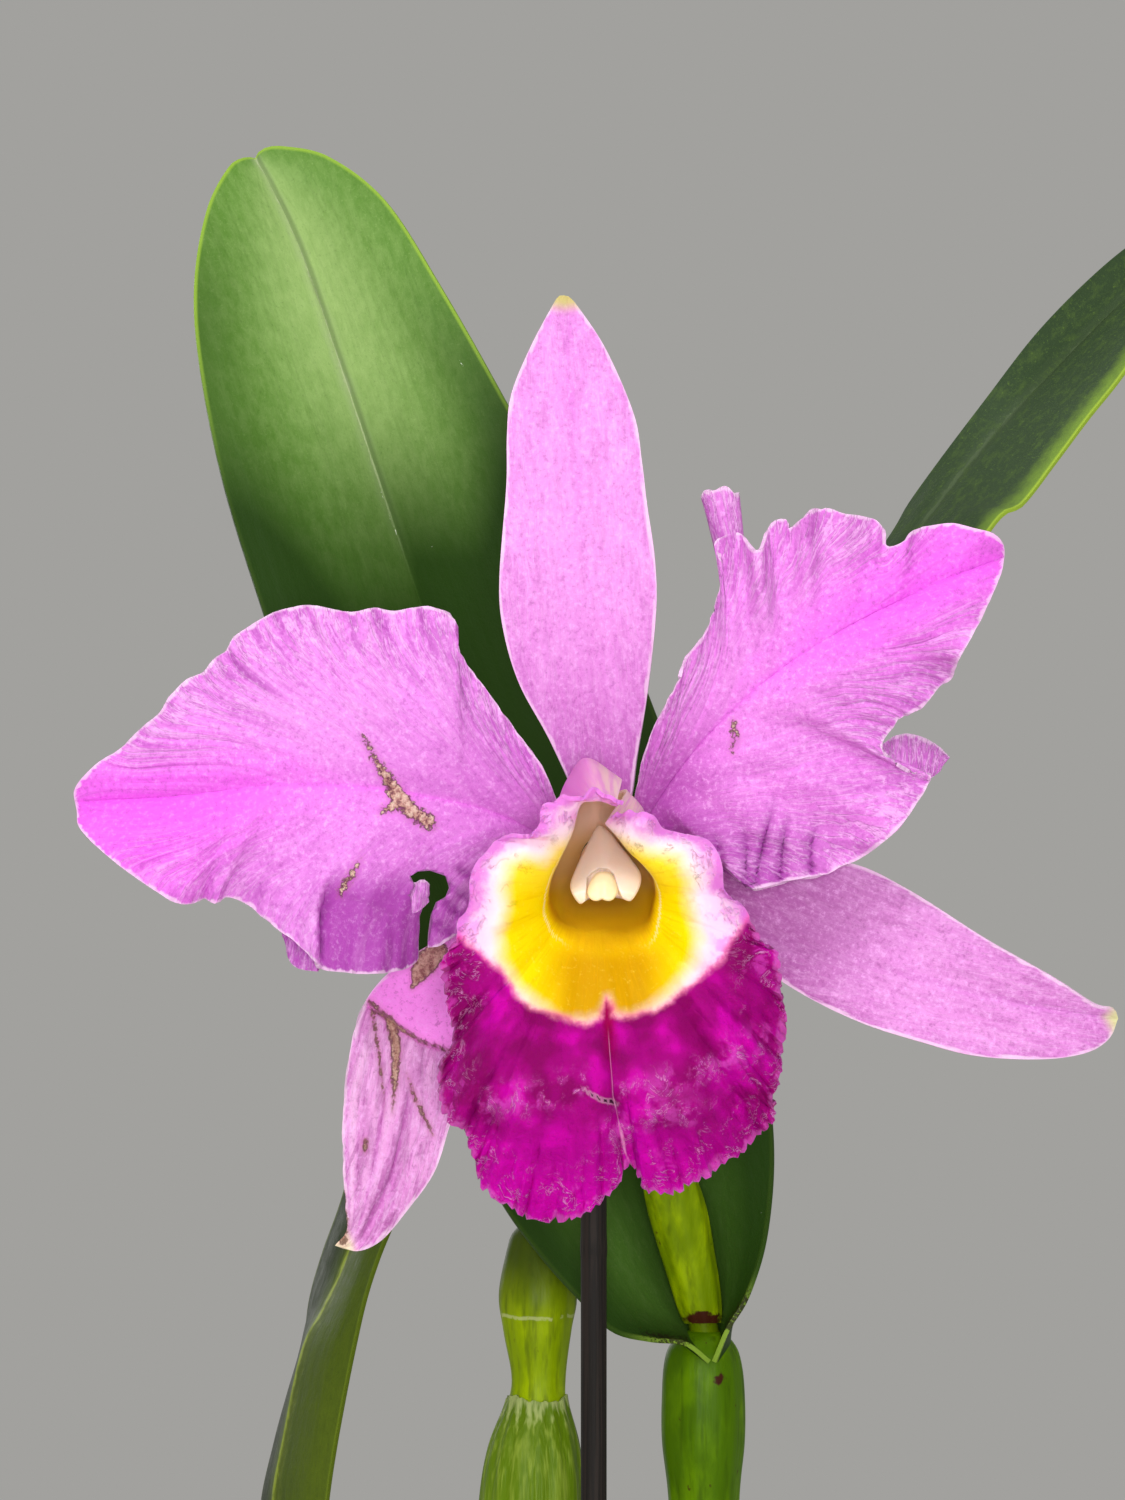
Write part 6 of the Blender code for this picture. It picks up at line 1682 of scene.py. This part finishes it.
def bark_chips(skins):
    """Loose chips heaped over the bed, clear of the stems and the pot's wall."""
    pick = random.Random(11)
    models = [chip(f"chip_{k}", pick) for k in range(7)]
    stands = [(p[0], p[1], r + 1.0) for p, r in
              [(BULB_FRONT[0], 4.2), (BULB_MIDDLE[0], 5.0), (BULB_BACK[0], 4.8), (BULB_OLD[0], 4.8)]]
    stake = in_millimetres([STAKE_TOP])[0]
    stands.append((stake[0], stake[1], STAKE_RADIUS + 0.8))
    heaps = [[] for _ in skins]
    for k in range(CHIPS):
        ring = math.sqrt((k + 0.5) / CHIPS) * CHIPS_SPREAD
        turn = k * GOLDEN_TURN + pick.uniform(-0.1, 0.1)
        x, y = ring * math.cos(turn), ring * math.sin(turn)
        size = Vector((pick.uniform(7, 15), pick.uniform(5, 9.5), pick.uniform(2.5, 5)))
        reach = 0.55 * size.x
        near = min(math.hypot(x - a, y - b) - r for a, b, r in stands)
        if near < CHIPS_CLEAR:
            continue
        size *= min(1.0, near / reach)
        size *= min(1.0, (CHIPS_LIMIT - ring) / reach)
        z = BARK_LEVEL - 1.0 + pick.uniform(-1.0, 2.6)
        model = pick.choice(models)
        made = model.copy()
        made.data = model.data.copy()
        bpy.context.scene.collection.objects.link(made)
        made.scale = size * MM
        made.rotation_euler = (pick.uniform(-0.45, 0.45), pick.uniform(-0.45, 0.45),
                               pick.uniform(0, math.tau))
        made.location = Vector((x, y, z)) * MM
        heaps[pick.randrange(len(skins))].append(made)
    for model in models:
        bpy.data.objects.remove(model, do_unlink=True)
    for k, (heap, skin) in enumerate(zip(heaps, skins)):
        select(*heap)
        bpy.ops.object.transform_apply(location=True, rotation=True, scale=True)
        piece = join(*heap)
        piece.name = f"bark_chips_{k + 1}"
        dress(piece, "bark_medium", "bark", skin)


# The setting

# Sizes and places here are in metres. Each lamp: its name, place, size and power in watts.
FLOOR_RADIUS = 0.95
FLOOR_DROP = 0.0005
LAMPS = [("key", (-0.55, -0.85, 1.3), 0.6, 9.5), ("fill", (0.75, -1.2, 0.45), 1.0, 2.4),
         ("front", (0.02, -1.3, 0.31), 0.25, 9.4), ("top", (0.1, 0.25, 1.5), 0.8, 3.0),
         ("back", (-0.7, 1.1, 0.6), 0.9, 4.0)]
LAMPS_AIM = Vector((0.0, -0.03, 0.29))


def setting():
    """A pale floor, soft studio light and the camera at the photograph's angle."""
    select()
    bpy.ops.mesh.primitive_circle_add(vertices=128, radius=FLOOR_RADIUS, fill_type="NGON",
                                      location=(0, 0, -FLOOR_DROP))
    floor = bpy.context.object
    floor.name = "floor"
    floor.data.materials.append(matt_paint())

    world = bpy.data.worlds.new("pale_studio")
    world.use_nodes = True
    background = world.node_tree.nodes["Background"].inputs
    background["Color"].default_value = linear("#A2A19E")
    background["Strength"].default_value = 1.0
    bpy.context.scene.world = world
    for name, spot, size, power in LAMPS:
        data = bpy.data.lights.new(name, "AREA")
        data.shape = "SQUARE"
        data.size = size
        data.energy = power
        lamp = bpy.data.objects.new(name, data)
        lamp.location = spot
        lamp.rotation_euler = (LAMPS_AIM - Vector(spot)).to_track_quat("-Z", "Y").to_euler()
        bpy.context.scene.collection.objects.link(lamp)

    data = bpy.data.cameras.new("camera")
    data.sensor_fit = "VERTICAL"
    data.sensor_height = SENSOR_HEIGHT
    data.lens = SENSOR_HEIGHT * EYE_DISTANCE / PICTURE_HEIGHT
    data.clip_start = 0.01
    camera = bpy.data.objects.new("camera", data)
    camera.location = Vector((EYE_X, FLOWER_Y - EYE_DISTANCE, EYE_Z)) * MM
    camera.rotation_euler = (math.pi / 2, 0, 0)
    bpy.context.scene.collection.objects.link(camera)
    bpy.context.scene.camera = camera
    bpy.context.scene.view_settings.view_transform = "Standard"


def main():
    """Every piece with its materials, then the setting."""
    petals([petal_skin("petal_flesh_left", "#D876D6", "#EE5CEA", "#E894E6", "#A840A8"),
            petal_skin("petal_flesh_right", "#D470D0", "#F05CEC", "#E88EE4", "#A440A2", 1.0, 0.6)])
    stain = ("#96604E", "#C99A82", "#E2BCA2")
    sepals([petal_skin("sepal_flesh_top", "#DE84D8", "#CE62CA", "#EE9EEA", "#AC4CA6", 0.5, 0.6, "#C9B873"),
            petal_skin("sepal_flesh_right", "#D27CCA", "#C85EC4", "#E698E0", "#963C8C", 0.5, 0.6, "#D5CF9A"),
            petal_skin("sepal_flesh_left", "#DA78CE", "#FF90F2", "#F2C0E8", "#A04894", 0.6, 1.0, "#F0DCB8",
                       stain, 0.2)])
    lip([lip_face(), lip_back()])
    column(waxy_flesh("column_wax", "#FFEADC", "#FCE0D0"))
    anther_cap(waxy_flesh("anther_wax", "#F8E2B6", "#F2D4A2"))
    leaves([leaf_cuticle("leaf_cuticle_front", "#5B8433", "#9CB870", "#223C0D", "#98BA3C", "#B8C49A"),
            leaf_cuticle("leaf_cuticle_right", "#34462C", "#7C9C38", "#28361F", "#A8C43C", "#5C6B4C", 0.35),
            leaf_cuticle("leaf_cuticle_left", "#3F4F12", "#5A6C18", "#1B270A", "#7E9420", "#9DAE2C", 0.5)])
    # Brown marks on the stems: place across and up, half sizes and raggedness.
    blot = (17.65, -76.8, (0.9, 0.9), 0.8)
    node = (15.3, -68.0, (3.0, 1.2), 1.6)
    old_skin = green_skin("bulb_skin_old", "#7C8440", "#5E6A2A", "#454E1E", 0.9, 0.5)
    bulb_skins = [green_skin("bulb_skin_front", "#587C00", "#446600", "#2E4800", 0.85, blot=blot),
                  green_skin("bulb_skin_middle", "#94AC00", "#7C9400", "#38470E", 0.3, fade=(211.0, 224.0),
                             ring=214.4),
                  old_skin, old_skin]
    bulbs(bulb_skins, dry_sheath())
    stems(green_skin("stem_skin", "#94AA00", "#748C00", "#546A00", 0.3, fade=(219.0, 215.0)),
          green_skin("flower_bract", "#8AA200", "#667E00", "#485A06", 0.75, blot=node),
          green_skin("rhizome_skin", "#7A7340", "#5C5628", "#3E3A1C", 0.7, 0.6),
          root_velamen(), stained_cane())
    pot(terracotta())
    bark_bed(fir_bark("packed_bark", "#7A5236", "#4A2F1E", "#3A2418"))
    bark_chips([fir_bark("bark_red", "#A06A44", "#74472C", "#56321F"),
                fir_bark("bark_brown", "#8C6142", "#5C3B26", "#452B1B"),
                fir_bark("bark_grey", "#9A826A", "#6B5442", "#4C3A2C")])
    setting()


main()
